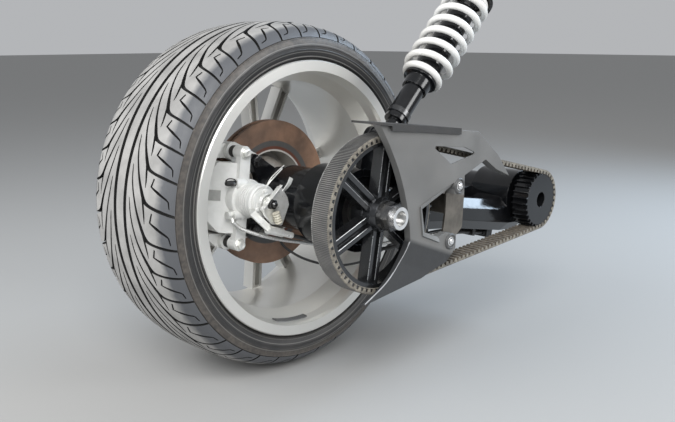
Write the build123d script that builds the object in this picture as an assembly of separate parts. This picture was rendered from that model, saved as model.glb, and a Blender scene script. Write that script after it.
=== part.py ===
from build123d import *
from math import acos, asin, atan2, cos, degrees, pi, radians, sin, sqrt
import os

# Rear wheel, single-sided swing arm, toothed belt drive, disc brake and coil-over
# unit of a three-wheeled car. All sizes are millimetres. The origin is the swing arm's
# pivot on the wheel's centre plane: +X forward, +Y away from the belt, +Z up.

# Small clearances
fit_gap = 0.05
seat_gap = 0.3
through = 500.0

# Belt drive
belt_pitch = 14.0
belt_teeth = 128
driven_teeth = 64
drive_teeth = 30
belt_width = 40.0
belt_back_height = 2.8
belt_land_depth = 1.4
tooth_height = 6.0
tooth_base = 9.4
tooth_tip = 6.2
tooth_side_gap = 0.9
land_gap = 0.3
tooth_root_gap = 0.4
belt_middle_y = -295.5
pulley_width = 38.0
axle_rise = 55.0

# Driven pulley
driven_rim_wall = 9.0
driven_hub_radius = 38.0
driven_nose_radius = 28.0
driven_hub_back_y = -268.0
driven_hub_front_y = -318.0
pulley_spokes = 6
pulley_spoke_turn = 80.0
pulley_rail_width = 9.0
pulley_rail_space = 11.0
pulley_spoke_depth = 24.0
pulley_web_depth = 8.0

# Drive pulley
drive_hub_radius = 34.0
drive_hub_back_y = -268.0
drive_shaft_radius = 17.5

# Axle line
shaft_radius = 30.0
shaft_thread_radius = 17.0
shaft_hub_radius = 20.0
hub_seat_y = 22.0
hub_flange_y = 40.0
hub_flange_radius = 72.0
hub_spigot_radius = 32.0
collar_radius = 27.0
collar_length = 10.0
nut_flats = 46.0
nut_length = 14.0
ring_radius = 20.5
ring_bore = 14.0
ring_length = 12.5

# Wheel rim, a 20 inch by 9 inch size
rim_width = 254.0
bead_seat_radius = 253.8
lip_height = 17.7
lip_drop = 3.0
barrel_drop = 22.8
rim_wall = 6.0
pad_radius = 78.0
pad_back_y = 46.0
pad_thickness_y = 40.0
spoke_pairs = 5
spoke_turn = 72.5
spoke_half_angle = 12.5
spoke_root_angle = 5.0
spoke_inset = 17.0
spoke_depth_rim = 36.0
spoke_width_hub = 24.0
spoke_width_rim = 26.0
spoke_channel_share = 0.24
spoke_channel_depth = 14.0
spoke_channel_start = 18.0
stud_count = 5
stud_circle = 114.3
stud_radius = 6.0
lug_nut_radius = 10.5
lug_nut_flats = 18.0
lug_seat_depth = 22.0
lug_nut_stand = 2.0

# Tyre, 255 mm wide
tyre_radius = 345.0
tyre_bulge = 2.0
shoulder_width = 23.0
tread_crown = 14.0
tyre_wall = 12.0

# Brake disc
disc_radius = 149.0
disc_inner_radius = 100.0
disc_near_y = -9.7
disc_thickness = 22.0
disc_plate = 7.0
disc_vanes = 24
hat_step = 8.0
hat_wall = 6.0

# Bearing carrier
carrier_radius = 63.5
carrier_bore = 48.0
carrier_back_y = -30.0
carrier_front_y = -257.0
carrier_neck_radius = 56.0
carrier_neck_length = 40.0
carrier_ear_depth = 16.0
bearing_length = 20.0

# Swing arm
beam_near_y = -262.0
beam_far_y = -160.0
beam_chamfer = 21.0
eye_wall = 14.0
pivot_tube_radius = 46.0
pivot_bore_radius = 25.0
pivot_bush_wall = 7.0
pivot_bush_length = 50.0
pivot_far_y = 120.0
pivot_boss_radius = 62.0
beam_low = ((-522.0, 4.0), (-241.0, -38.0), (-54.0, -76.0))
beam_high = (
    # x, z, corner radius
    (-519.0, 92.0, 0.0), (-246.0, 32.0, 300.0), (-61.0, -2.0, 60.0), (-20.0, 40.0, 0.0),
    (40.0, -10.0, 0.0), (28.0, -84.0, 26.0),
)
brace_corners = ((0.0, -165.0), (-150.0, -165.0), (-30.0, 100.0), (0.0, 100.0))
brace_low = -22.0
brace_height = 44.0
ear_thickness = 12.0
ear_radius = 21.0
ear_foot_back = (-50.0, -80.0)
ear_foot_front = (62.0, -110.0)

# Shock unit, measured along its own axis from its lower eye
shock_y = -227.0
shock_eye_back = 99.0
shock_eye_up = 122.0
shock_lean = 45.6
shock_eye_radius = 19.0
shock_bolt_radius = 7.0
shock_bolt_flats = 21.0
shock_head_length = 8.0
shock_nut_length = 10.0
shock_eye_width = 45.4
collar_start = 56.0
collar_end = 67.0
shock_collar_radius = 24.5
damper_radius = 22.0
damper_neck_radius = 14.0
damper_tube_radius = 27.0
damper_end = 350.0
lower_seat_start = 149.0
lower_seat_cone = 22.0
lower_seat_radius = 35.0
seat_thickness = 7.0
seat_radius = 49.0
upper_seat_start = 385.0
upper_eye_at = 424.0
upper_eye_radius = 18.0
upper_eye_width = 40.0
rod_radius = 8.0
spring_mean_radius = 43.0
wire_radius = 7.0
spring_pitch = 32.8
spring_end_radius = 36.5
spring_end_rise = 9.0

# Brake caliper, in its own frame: outward along the wheel's radius, around, and Y
caliper_angle = 173.5
pin_radius_out = 158.5
pin_half_angle = 33.5
pin_radius = 5.0
pin_head_flats = 16.0
pin_head_length = 5.0
pin_flange_radius = 10.5
ear_near_y = -77.0
ear_depth = 23.0
ear_boss_radius = 12.5
bar_near_y = -76.0
bar_depth = 15.0
bar_side = 30.0
bar_inner = 118.0
bar_outer = 142.0
bracket_near_y = -30.0
bracket_depth = 12.0
bracket_arm_far_y = 34.0
housing_radius = 16.5
housing_near_y = -40.0
boot_radius = 11.0
body_radius = 38.0
body_near_y = -76.0
body_far_y = -31.0
slope_start = 130.0
slope_end_y = -36.0
bridge_inner = 154.5
bridge_outer = 183.0
finger_inner = 98.0
finger_far_y = 40.0
piston_radius = 22.0
drum_out = 119.0
drum_radius = 32.5
drum_front_y = -118.0
drum_groove_depth = 1.6
drum_groove_width = 2.4
drum_grooves = (-93.0, -99.0, -105.0)
drum_nose_radius = 26.0
drum_nose_length = 8.0
lever_stand_off = 20.0
lever_thickness = 4.0
lever_boss_radius = 13.0
lever_nut_flats = 16.0
lever_nut_length = 9.0
ferrule_radius = 8.0
ferrule_nose_radius = 6.0
ferrule_length = 63.0
ferrule_barrel = 38.0
stop_thickness = 4.0
hose_side = 30.0
bleed_side = -30.0
fitting_y = -74.0
fitting_boss_radius = 9.0
fitting_boss_inner = 128.0
fitting_boss_outer = 150.0
banjo_radius = 8.0
banjo_width = 8.0
bolt_flats = 14.0
banjo_bolt_length = 7.0
nipple_flats = 10.0
nipple_base_length = 8.0
nipple_cap_radius = 4.5
nipple_length = 20.0
pad_thickness = 12.0
pad_gap = 0.4
pad_window_gap = 1.5
pad_outline = (
    # outward, around, corner radius
    (102.0, -42.0, 8.0), (146.0, -54.0, 6.0), (146.0, 54.0, 6.0), (102.0, 42.0, 8.0),
)
caliper_outline = (
    # outward, around, corner radius
    (90.0, -46.0, 10.0), (118.0, -67.0, 4.0), (170.0, -67.0, 6.0), (183.0, -44.0, 10.0),
    (183.0, 44.0, 10.0), (164.0, 67.0, 8.0), (118.0, 67.0, 4.0), (90.0, 46.0, 10.0),
)
bracket_half = (
    # outward, around, corner radius: one half, from the middle to the arm over the disc
    (82.0, 40.0, 12.0), (60.0, 56.0, 8.0), (60.0, 79.0, 8.0), (90.0, 92.0, 12.0),
    (122.0, 104.0, 8.0), (150.0, 100.0, 8.0), (169.0, 86.0, 6.0), (169.0, 73.0, 3.0),
    (138.0, 73.0, 6.0), (108.0, 60.0, 10.0), (95.0, 40.0, 8.0),
)
bracket_arm = (
    # outward, around, corner radius: the part that reaches over the disc's edge
    (139.0, 73.0, 2.0), (169.0, 73.0, 3.0), (169.0, 86.0, 6.0), (150.0, 100.0, 8.0), (122.0, 104.0, 4.0),
)
carrier_ear = (
    # outward, around, corner radius: one half of the black plate that carries the bracket
    (0.0, 52.0, 0.0), (18.0, 50.0, 20.0), (84.0, 85.0, 8.0), (94.0, 70.0, 8.0), (70.0, 34.0, 14.0),
)
carrier_bolt_place = (73.0, 67.0)
carrier_bolt_radius = 5.0
lever_outline = (
    # outward, around, corner radius
    (141.0, 9.0, 3.0), (98.6, -35.5, 6.0), (78.0, -11.0, 5.0), (72.7, 3.0, 5.0),
    (87.0, 43.0, 5.0), (113.0, 38.6, 4.0),
)
stop_foot = (148.0, 16.0)
stop_hold = (124.0, 46.0)
stop_width = 13.0

# Belt guard, measured from the axle line in the plane of the guard
guard_face_y = -342.0
guard_thickness = 3.0
guard_return = 20.0
cap_thickness = 4.0
cap_inner_y = -272.0
cap_lip_drop = 8.0
guard_bolt_radius = 4.0
guard_boss_radius = 9.0
guard_corners = (
    # forward and up from the axle, from the top rear corner round to the lower tip
    (-41.0, 167.0), (252.0, 132.0), (327.0, 77.0), (371.0, 29.0), (320.0, 49.0), (281.0, 73.0),
    (209.0, 50.0), (209.0, 11.0), (178.0, 17.0), (175.0, 40.0), (76.0, 7.0), (85.0, -50.0),
    (137.0, -72.0), (137.0, -62.0), (159.0, -57.0), (190.0, -65.0), (190.0, -93.0),
    (166.0, -119.0), (94.0, -136.0), (-69.0, -150.0),
)
guard_rear_low = (2.0, -113.0)
guard_rear_middle = (51.0, -52.0)
guard_rear_high = (30.0, 45.0)
guard_window = (
    # forward, up, corner radius
    (103.0, 118.0, 3.0), (207.0, 105.0, 4.0), (248.0, 89.0, 3.0), (164.0, 77.0, 5.0),
)
guard_bolt_places = ((192.0, 31.0), (174.0, -77.0))
cap_front = 188.0
bracket_corners = (
    # forward, up, corner radius
    (178.0, 18.0, 4.0), (213.0, 40.0, 8.0), (236.0, 36.0, 6.0), (238.0, 3.0, 0.0),
    (234.0, -62.0, 8.0), (190.0, -90.0, 8.0), (165.0, -88.0, 8.0), (176.0, -27.0, 30.0),
)
bracket_leg = (196.0, 234.0, -30.0, 10.0)
bracket_thickness = 4.0

# Cords held on the arm
hose_radius = 3.5
cable_radius = 4.0
wire_lead_radius = 2.5
clip_half = 5.0
clip_margin = 4.0
clip_wall = 7.0
clip_room = 0.6
connector_length = 22.0
fitting_length = 8.0
fitting_wall = 2.5
clip_places = ((-300.0, 26.0), (-120.0, 12.0))
cord_lanes = ((-208.0, cable_radius), (-190.0, hose_radius), (-173.0, wire_lead_radius))


# Belt geometry
driven_pitch_radius = driven_teeth * belt_pitch / (2 * pi)
drive_pitch_radius = drive_teeth * belt_pitch / (2 * pi)
belt_length = belt_teeth * belt_pitch


def belt_lean(distance):
    return asin((driven_pitch_radius - drive_pitch_radius) / distance)


def loop_length(distance):
    lean = belt_lean(distance)
    wraps = pi * (driven_pitch_radius + drive_pitch_radius)
    extra = 2 * lean * (driven_pitch_radius - drive_pitch_radius)
    return 2 * distance * cos(lean) + wraps + extra


# The distance between the two pulleys that this belt fits exactly
pulley_distance = belt_length / 3
for step in range(20):
    error = belt_length - loop_length(pulley_distance)
    pulley_distance += error / (2 * cos(belt_lean(pulley_distance)))

axle_back = sqrt(pulley_distance ** 2 - axle_rise ** 2)
axle_x = -axle_back
axle_z = axle_rise
disc_far_y = disc_near_y + disc_thickness
hat_radius = disc_inner_radius - hat_step
lip_radius = bead_seat_radius + lip_height
lip_opening_radius = bead_seat_radius - lip_drop
barrel_radius = bead_seat_radius - barrel_drop
pad_front_y = pad_back_y + pad_thickness_y
spoke_front_rim_y = rim_width / 2 - spoke_inset
spoke_back_rim_y = spoke_front_rim_y - spoke_depth_rim
tyre_half_width = rim_width / 2 + tyre_bulge
tread_half_width = tyre_half_width - shoulder_width


# Shape helpers
def at_axle(shape):
    return Pos(axle_x, 0, axle_z) * shape


def turned(points):
    """A ring about Y from corners given as (radius, y)."""
    return revolve(make_face(Polyline(*points, close=True)), Axis.Y)


def rod(radius, y_from, y_to, x=0.0, z=0.0):
    middle = (y_from + y_to) / 2
    return Pos(x, middle, z) * Rot(90, 0, 0) * Cylinder(radius, abs(y_to - y_from))


def tube(outer, inner, y_from, y_to, x=0.0, z=0.0):
    return rod(outer, y_from, y_to, x, z) - rod(inner, y_from - 1, y_to + 1, x, z)


def extruded(face, y_from, y_to):
    """Extrudes a face drawn as (x, z) from one Y to another."""
    low, high = sorted((y_from, y_to))
    return extrude(Plane.XZ.offset(-high) * face, amount=high - low)


def outline_face(corners):
    """A flat face whose corners are (x, z, corner radius)."""
    points = [(x, z) for x, z, radius in corners]
    radii = [radius for x, z, radius in corners]
    return make_face(FilletPolyline(*points, radius=radii, close=True))


def plate(corners, y_from, y_to):
    """A plate whose corners are (x, z, corner radius)."""
    return extruded(outline_face(corners), y_from, y_to)


def block(x_from, x_to, y_from, y_to, z_from, z_to):
    middle = Pos((x_from + x_to) / 2, (y_from + y_to) / 2, (z_from + z_to) / 2)
    return middle * Box(abs(x_to - x_from), abs(y_to - y_from), abs(z_to - z_from))


def around(angle):
    """Turns a shape about Y so that what lay along +X points at this angle up."""
    return Rot(0, -angle, 0)


def hexagon(across_flats, y_from, y_to, x=0.0, z=0.0):
    prism = extruded(RegularPolygon(across_flats / 2, 6, major_radius=False), y_from, y_to)
    return Pos(x, 0, z) * prism


def fused(shapes):
    total = shapes[0]
    for shape in shapes[1:]:
        total = total + shape
    return total


def cord(points, radius, bends):
    """A round cord along straight runs joined by arcs."""
    path = FilletPolyline(*points, radius=bends, close=False)
    start = Plane(origin=path @ 0, z_dir=path % 0)
    return sweep(start * Circle(radius), path=path)


def bend_radii(points):
    """Each corner's arc is as large as its two runs allow."""
    radii = []
    for before, here, after in zip(points, points[1:], points[2:]):
        run_in = Vector(*here) - Vector(*before)
        run_out = Vector(*after) - Vector(*here)
        half_turn = radians(run_in.get_angle(run_out)) / 2
        shorter = min(run_in.length, run_out.length)
        radii.append(0.45 * shorter / (sin(half_turn) / cos(half_turn)))
    return radii


# Belt drive
belt_angle = degrees(atan2(-axle_z, -axle_x))
contact_angle = degrees(acos((driven_pitch_radius - drive_pitch_radius) / pulley_distance))
upper_normal = radians(belt_angle + contact_angle)
lower_normal = radians(belt_angle - contact_angle)
straight_run = pulley_distance * sin(radians(contact_angle))
drive_wrap = drive_pitch_radius * radians(2 * contact_angle)
driven_wrap = driven_pitch_radius * radians(360 - 2 * contact_angle)


def pitch_line(distance):
    """A point of the pitch line and its outward direction, from the driven pulley's top."""
    if distance < straight_run:
        share = distance / straight_run
        start = (axle_x + driven_pitch_radius * cos(upper_normal),
                 axle_z + driven_pitch_radius * sin(upper_normal))
        end = (drive_pitch_radius * cos(upper_normal), drive_pitch_radius * sin(upper_normal))
        x = start[0] + share * (end[0] - start[0])
        z = start[1] + share * (end[1] - start[1])
        return x, z, upper_normal
    distance -= straight_run
    if distance < drive_wrap:
        turn = upper_normal - distance / drive_pitch_radius
        return drive_pitch_radius * cos(turn), drive_pitch_radius * sin(turn), turn
    distance -= drive_wrap
    if distance < straight_run:
        share = distance / straight_run
        start = (drive_pitch_radius * cos(lower_normal), drive_pitch_radius * sin(lower_normal))
        end = (axle_x + driven_pitch_radius * cos(lower_normal),
               axle_z + driven_pitch_radius * sin(lower_normal))
        x = start[0] + share * (end[0] - start[0])
        z = start[1] + share * (end[1] - start[1])
        return x, z, lower_normal
    distance -= straight_run
    turn = lower_normal - distance / driven_pitch_radius
    x = axle_x + driven_pitch_radius * cos(turn)
    z = axle_z + driven_pitch_radius * sin(turn)
    return x, z, turn


def tooth_corners(place, side_gap=0.0, at_land=0.0, at_root=0.0):
    """The four corners of one belt tooth, or with gaps the pulley's groove for it."""
    x, z, turn = place
    corners = []
    land = belt_land_depth + at_land
    root = belt_land_depth + tooth_height + at_root
    half_base = tooth_base / 2 + side_gap
    half_tip = tooth_tip / 2 + side_gap
    for along, depth in ((-half_base, land), (-half_tip, root), (half_tip, root), (half_base, land)):
        corner_x = x - depth * cos(turn) + along * sin(turn)
        corner_z = z - depth * sin(turn) - along * cos(turn)
        corners.append((corner_x, corner_z))
    return corners


def make_belt():
    inner = []
    for tooth in range(belt_teeth):
        inner += tooth_corners(pitch_line((tooth + 0.5) * belt_pitch))
    back = belt_back_height
    driven_back = driven_pitch_radius + back
    drive_back = drive_pitch_radius + back
    driven_top = (axle_x + driven_back * cos(upper_normal), axle_z + driven_back * sin(upper_normal))
    drive_top = (drive_back * cos(upper_normal), drive_back * sin(upper_normal))
    drive_low = (drive_back * cos(lower_normal), drive_back * sin(lower_normal))
    driven_low = (axle_x + driven_back * cos(lower_normal), axle_z + driven_back * sin(lower_normal))
    line_turn = radians(belt_angle)
    drive_end = (drive_back * cos(line_turn), drive_back * sin(line_turn))
    driven_end = (axle_x - driven_back * cos(line_turn), axle_z - driven_back * sin(line_turn))
    outer = [
        Line(driven_top, drive_top),
        ThreePointArc(drive_top, drive_end, drive_low),
        Line(drive_low, driven_low),
        ThreePointArc(driven_low, driven_end, driven_top),
    ]
    loop = make_face(outer) - make_face(Polyline(*inner, close=True))
    near = belt_middle_y - belt_width / 2
    return extruded(loop, near, near + belt_width)


def toothed_blank(teeth, radius, phase):
    """A pulley's toothed outline about its own centre, one groove at the phase angle."""
    corners = []
    for tooth in range(teeth):
        turn = phase - 2 * pi * tooth / teeth
        place = (radius * cos(turn), radius * sin(turn), turn)
        corners += tooth_corners(place, tooth_side_gap, land_gap, tooth_root_gap)
    near = belt_middle_y - pulley_width / 2
    return extruded(make_face(Polyline(*corners, close=True)), near, near + pulley_width)


def groove_phase(first_distance):
    """The angle of the first whole tooth after this distance along the belt."""
    tooth = int(first_distance / belt_pitch) + 1
    return pitch_line((tooth + 0.5) * belt_pitch)[2]


def make_driven_pulley():
    phase = groove_phase(2 * straight_run + drive_wrap)
    blank = toothed_blank(driven_teeth, driven_pitch_radius, phase)
    root = driven_pitch_radius - belt_land_depth - tooth_height - tooth_root_gap
    rim_inner = root - driven_rim_wall
    rim = blank - rod(rim_inner, -through, 0)
    hub = turned([
        (shaft_thread_radius + fit_gap, driven_hub_back_y),
        (driven_hub_radius, driven_hub_back_y),
        (driven_hub_radius, belt_middle_y),
        (driven_nose_radius, driven_hub_front_y),
        (shaft_thread_radius + fit_gap, driven_hub_front_y),
    ])
    spoke_far = belt_middle_y + pulley_spoke_depth / 2
    spoke_near = belt_middle_y - pulley_spoke_depth / 2
    rail_middle = (pulley_rail_space + pulley_rail_width) / 2
    bore = rod(shaft_thread_radius + fit_gap, -through, 0)
    inside = driven_nose_radius - 4
    outside = rim_inner + 4
    pieces = [rim, hub]
    for spoke in range(pulley_spokes):
        turn = around(pulley_spoke_turn + 360 * spoke / pulley_spokes)
        for side in (-1, 1):
            low = side * rail_middle - pulley_rail_width / 2
            rail = block(inside, outside, spoke_near, spoke_far, low, low + pulley_rail_width)
            pieces.append(turn * rail)
        web_near = belt_middle_y - pulley_web_depth / 2
        web = block(inside, outside, web_near, web_near + pulley_web_depth,
                    -rail_middle, rail_middle)
        pieces.append(turn * web)
    return at_axle(fused(pieces) - bore)


def make_drive_pulley():
    phase = groove_phase(straight_run)
    blank = toothed_blank(drive_teeth, drive_pitch_radius, phase)
    hub = rod(drive_hub_radius, drive_hub_back_y, belt_middle_y)
    return blank + hub - rod(drive_shaft_radius, -through, 0)


# Axle line
def make_axle_shaft():
    thread_end = driven_hub_front_y - collar_length - nut_length
    shaft = rod(shaft_thread_radius, thread_end, driven_hub_back_y)
    shaft = shaft + rod(shaft_radius, driven_hub_back_y, hub_seat_y)
    return at_axle(shaft + rod(shaft_hub_radius, hub_seat_y, hub_flange_y + 14))


def make_axle_collar():
    end = driven_hub_front_y
    ring = tube(collar_radius, shaft_thread_radius + fit_gap, end - collar_length, end)
    return at_axle(ring)


def make_axle_nut():
    start = driven_hub_front_y - collar_length
    nut = hexagon(nut_flats, start - nut_length, start)
    return at_axle(nut - rod(shaft_thread_radius + fit_gap, -through, 0))


def make_lock_ring():
    start = driven_hub_front_y - collar_length - nut_length
    return at_axle(tube(ring_radius, ring_bore, start - ring_length, start))


def stud_places():
    """The studs' places about the axle, as (x, z)."""
    places = []
    for stud in range(stud_count):
        turn = radians(spoke_turn + 36 + 360 * stud / stud_count)
        places.append((stud_circle / 2 * cos(turn), stud_circle / 2 * sin(turn)))
    return places


def make_wheel_hub():
    hub = rod(hub_flange_radius, hub_seat_y, hub_flange_y)
    hub = hub + rod(hub_spigot_radius, hub_flange_y, hub_flange_y + 16)
    for x, z in stud_places():
        hub = hub + rod(stud_radius, hub_flange_y, pad_front_y - 6, x, z)
    return at_axle(hub - rod(shaft_hub_radius + fit_gap, 0, through))


def make_brake_disc():
    plates = []
    for start in (disc_near_y, disc_far_y - disc_plate):
        plates.append(tube(disc_radius, disc_inner_radius, start, start + disc_plate))
    vane = block(disc_inner_radius + 2, disc_radius - 1, disc_near_y + disc_plate - 0.5,
                 disc_far_y - disc_plate + 0.5, -2, 2)
    for number in range(disc_vanes):
        plates.append(around(360 * number / disc_vanes) * vane)
    hat = turned([
        (disc_inner_radius + 2, disc_near_y),
        (disc_inner_radius + 2, disc_near_y + disc_plate),
        (hat_radius, disc_near_y + disc_plate),
        (hat_radius, pad_back_y),
        (hub_spigot_radius + fit_gap, pad_back_y),
        (hub_spigot_radius + fit_gap, hub_flange_y),
        (hat_radius - hat_wall, hub_flange_y),
        (hat_radius - hat_wall, disc_near_y),
    ])
    for x, z in stud_places():
        hat = hat - rod(stud_radius + fit_gap, 0, through, x, z)
    return at_axle(fused([hat] + plates))


# Wheel
def make_rim():
    half = rim_width / 2
    inner = barrel_radius
    outer = barrel_radius + rim_wall
    barrel = turned([
        (lip_opening_radius, -half),
        (lip_radius - 2, -half),
        (lip_radius, -half + 2),
        (lip_radius, -half + 8),
        (bead_seat_radius + 1, -half + 13),
        (bead_seat_radius, -half + 33),
        (outer, -half + 62),
        (outer, half - 62),
        (bead_seat_radius, half - 33),
        (bead_seat_radius + 1, half - 13),
        (lip_radius, half - 8),
        (lip_radius, half - 2),
        (lip_radius - 2, half),
        (lip_opening_radius, half),
        (bead_seat_radius - rim_wall - 2, half - 12),
        (inner, half - 40),
        (inner, -half + 64),
        (bead_seat_radius - rim_wall - 2, -half + 30),
        (lip_opening_radius - 3, -half + 8),
    ])
    pad = turned([
        (hub_spigot_radius + fit_gap, pad_back_y),
        (pad_radius, pad_back_y),
        (pad_radius, pad_front_y - 4),
        (pad_radius - 4, pad_front_y),
        (hub_spigot_radius + fit_gap, pad_front_y),
    ])
    pieces = [barrel, pad]
    for pair in range(spoke_pairs):
        centre = spoke_turn + 360 * pair / spoke_pairs
        for side in (-1, 1):
            pieces.append(make_spoke(centre, side))
    wheel = fused(pieces)
    for x, z in stud_places():
        wheel = wheel - rod(stud_radius + fit_gap, 0, through, x, z)
        wheel = wheel - rod(lug_nut_radius + 3, pad_front_y - lug_seat_depth, through, x, z)
    return at_axle(wheel)


def make_spoke(centre, side):
    """One spoke of a pair, drawn from the pad to the barrel between two end faces."""
    root_r = pad_radius - 6
    rim_r = barrel_radius + 2
    root_turn = radians(centre + side * spoke_root_angle)
    rim_turn = radians(centre + side * spoke_half_angle)
    root = Vector(root_r * cos(root_turn), 0, root_r * sin(root_turn))
    end = Vector(rim_r * cos(rim_turn), 0, rim_r * sin(rim_turn))
    along = (end - root).normalized()
    across = Vector(-along.Z, 0, along.X)
    table = (
        # place, width, back y, front y
        (root, spoke_width_hub, pad_back_y + 6, pad_front_y - 4),
        (end, spoke_width_rim, spoke_back_rim_y, spoke_front_rim_y),
    )
    solid_sections = []
    channel_sections = []
    for place, width, back, front in table:
        solid_sections.append(spoke_section(place, across * width, (0.5, back), (0.36, front)))
        mouth = (spoke_channel_share, back - 1)
        floor = (0.7 * spoke_channel_share, back + spoke_channel_depth)
        place = place + along * (spoke_channel_start if place is root else -barrel_drop / 4)
        channel_sections.append(spoke_section(place, across * width, mouth, floor))
    return loft(solid_sections, ruled=True) - loft(channel_sections, ruled=True)


def spoke_section(place, width, back, front):
    """A four-cornered section across a spoke; back and front are (share of the width, y)."""
    corners = []
    for share, y in ((-back[0], back[1]), back, front, (-front[0], front[1])):
        point = place + width * share
        corners.append((point.X, y, point.Z))
    return make_face(Polyline(*corners, close=True))


def make_lug_nuts():
    nuts = []
    for x, z in stud_places():
        start = pad_front_y - lug_seat_depth
        nut = hexagon(lug_nut_flats, start, pad_front_y + lug_nut_stand, x, z)
        nuts.append(nut - rod(stud_radius + fit_gap, start - 1, pad_front_y - 5, x, z))
    return at_axle(Compound(children=nuts))


def make_centre_cap():
    cap = turned([
        (0, pad_front_y - 6),
        (hub_spigot_radius, pad_front_y - 6),
        (hub_spigot_radius, pad_front_y + 2),
        (hub_spigot_radius - 4, pad_front_y + 6),
        (0, pad_front_y + 8),
    ])
    return at_axle(cap)


def make_tyre():
    """The carcass: each row is a share of the height over the rim's lip, and a Y."""
    half = tyre_half_width
    bead = rim_width / 2
    height = tyre_radius - lip_radius
    crown_low = 1 - tread_crown / height
    outside = [
        # share of the height, y
        (1.0, 0.28 * tread_half_width),
        (1 - 0.2 * (1 - crown_low), 0.57 * tread_half_width),
        (1 - 0.6 * (1 - crown_low), 0.85 * tread_half_width),
        (crown_low, tread_half_width),
        (crown_low - 0.14, half - 0.3 * shoulder_width),
        (0.44, half),
        (0.21, half - 1),
        (0.03, bead - 8.6),
    ]
    outer = [(lip_radius + share * height, y) for share, y in outside]
    outer += [
        (bead_seat_radius + 1.6, bead - 13.8),
        (bead_seat_radius + 0.5, bead - 32),
    ]
    inner = [
        (bead_seat_radius + tyre_wall, bead - 32),
        (lip_radius + 0.3 * height, half - tyre_wall),
        (lip_radius + 0.58 * height, half - 1.5 * tyre_wall),
        (tyre_radius - tread_crown * 1.2, 0.85 * tread_half_width),
        (tyre_radius - tyre_wall, 0.38 * tread_half_width),
    ]
    corners = outer + inner
    corners += [(r, -y) for r, y in reversed(inner)]
    corners += [(r, -y) for r, y in reversed(outer)]
    return at_axle(turned(corners))


# Bearing carrier and swing arm
def make_bearing_carrier():
    """The bearing housing, its neck and the two ears that the brake's bracket is bolted to."""
    neck_start = carrier_back_y - carrier_neck_length
    body = rod(carrier_radius, carrier_front_y, neck_start)
    body = body + rod(carrier_neck_radius, neck_start, carrier_back_y)
    ears = plate(mirrored(carrier_ear), carrier_back_y - carrier_ear_depth, carrier_back_y)
    out, side = carrier_bolt_place
    for place in (side, -side):
        ears = ears - rod(carrier_bolt_radius, neck_start, carrier_back_y + 1, out, place)
    body = at_axle(body) + at_caliper(ears)
    return body - at_axle(rod(carrier_bore, carrier_front_y - 1, carrier_back_y + 1))


def make_axle_bearings():
    rings = []
    for start in (carrier_front_y + 4, carrier_back_y - 4 - bearing_length):
        rings.append(tube(carrier_bore - fit_gap, shaft_radius + fit_gap, start, start + bearing_length))
    return at_axle(Compound(children=rings))


def make_swing_arm():
    beam = plate(list(beam_high) + [(x, z, 0) for x, z in reversed(beam_low)], beam_near_y, beam_far_y)
    long_edges = beam.edges().group_by(Axis.Y)
    beam = chamfer(long_edges[0] + long_edges[-1], beam_chamfer)
    eye = rod(carrier_radius + eye_wall, beam_near_y, beam_far_y, axle_x, axle_z)
    boss = rod(pivot_boss_radius, beam_near_y, beam_far_y)
    tube_far = rod(pivot_tube_radius, beam_far_y - 10, pivot_far_y)
    brace_base = Polyline(*[(x, y, brace_low) for x, y in brace_corners], close=True)
    brace = extrude(make_face(brace_base), amount=brace_height, dir=(0, 0, 1))
    ears = []
    eye_x = axle_x + shock_eye_back
    eye_z = axle_z + shock_eye_up
    for start in ear_starts():
        round_end = rod(ear_radius, start, start + ear_thickness, eye_x, eye_z)
        foot = plate([
            (eye_x + ear_foot_back[0], eye_z + ear_foot_back[1], 0),
            (eye_x - ear_radius, eye_z + 4, 0),
            (eye_x + ear_radius, eye_z + 4, 0),
            (eye_x + ear_foot_front[0], eye_z + ear_foot_front[1], 0),
        ], start, start + ear_thickness)
        ears += [round_end, foot]
    arm = fused([beam, eye, boss, tube_far, brace] + ears)
    arm = arm - rod(carrier_radius + fit_gap, beam_near_y - 1, beam_far_y + 1, axle_x, axle_z)
    bore = pivot_bore_radius + pivot_bush_wall
    arm = arm - rod(bore, beam_near_y - 1, pivot_far_y + 1)
    return arm - rod(shock_bolt_radius + fit_gap, beam_near_y - 1, beam_far_y, eye_x, eye_z)


def ear_starts():
    half = shock_eye_width / 2 + seat_gap
    return (shock_y - half - ear_thickness, shock_y + half)


def make_pivot_bushes():
    bushes = []
    outer = pivot_bore_radius + pivot_bush_wall - fit_gap
    for start in (beam_near_y, pivot_far_y - pivot_bush_length):
        bushes.append(tube(outer, pivot_bore_radius, start, start + pivot_bush_length))
    return Compound(children=bushes)


# Shock unit
def on_shock(shape):
    """Moves a shape built up +Z from the lower eye onto the leaning unit."""
    place = Pos(axle_x + shock_eye_back, shock_y, axle_z + shock_eye_up)
    return place * Rot(0, shock_lean, 0) * shape


def stand(radius, low, high):
    return Pos(0, 0, (low + high) / 2) * Cylinder(radius, high - low)


def make_shock_damper():
    """The eye, the black body and the wider tube inside the spring."""
    eye = rod(shock_eye_radius, -shock_eye_width / 2, shock_eye_width / 2)
    neck = stand(damper_neck_radius, shock_eye_radius / 2, collar_start)
    body = stand(damper_radius, collar_start - 12, damper_end)
    tube_start = lower_seat_start + seat_thickness
    wide = stand(damper_tube_radius, tube_start, damper_end)
    bolt_hole = rod(shock_bolt_radius + fit_gap, -shock_eye_width, shock_eye_width)
    return on_shock(eye + neck + body + wide - bolt_hole)


def make_shock_collar():
    ring = stand(shock_collar_radius, collar_start, collar_end)
    return on_shock(ring - stand(damper_radius + fit_gap, collar_start - 1, collar_end + 1))


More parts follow.
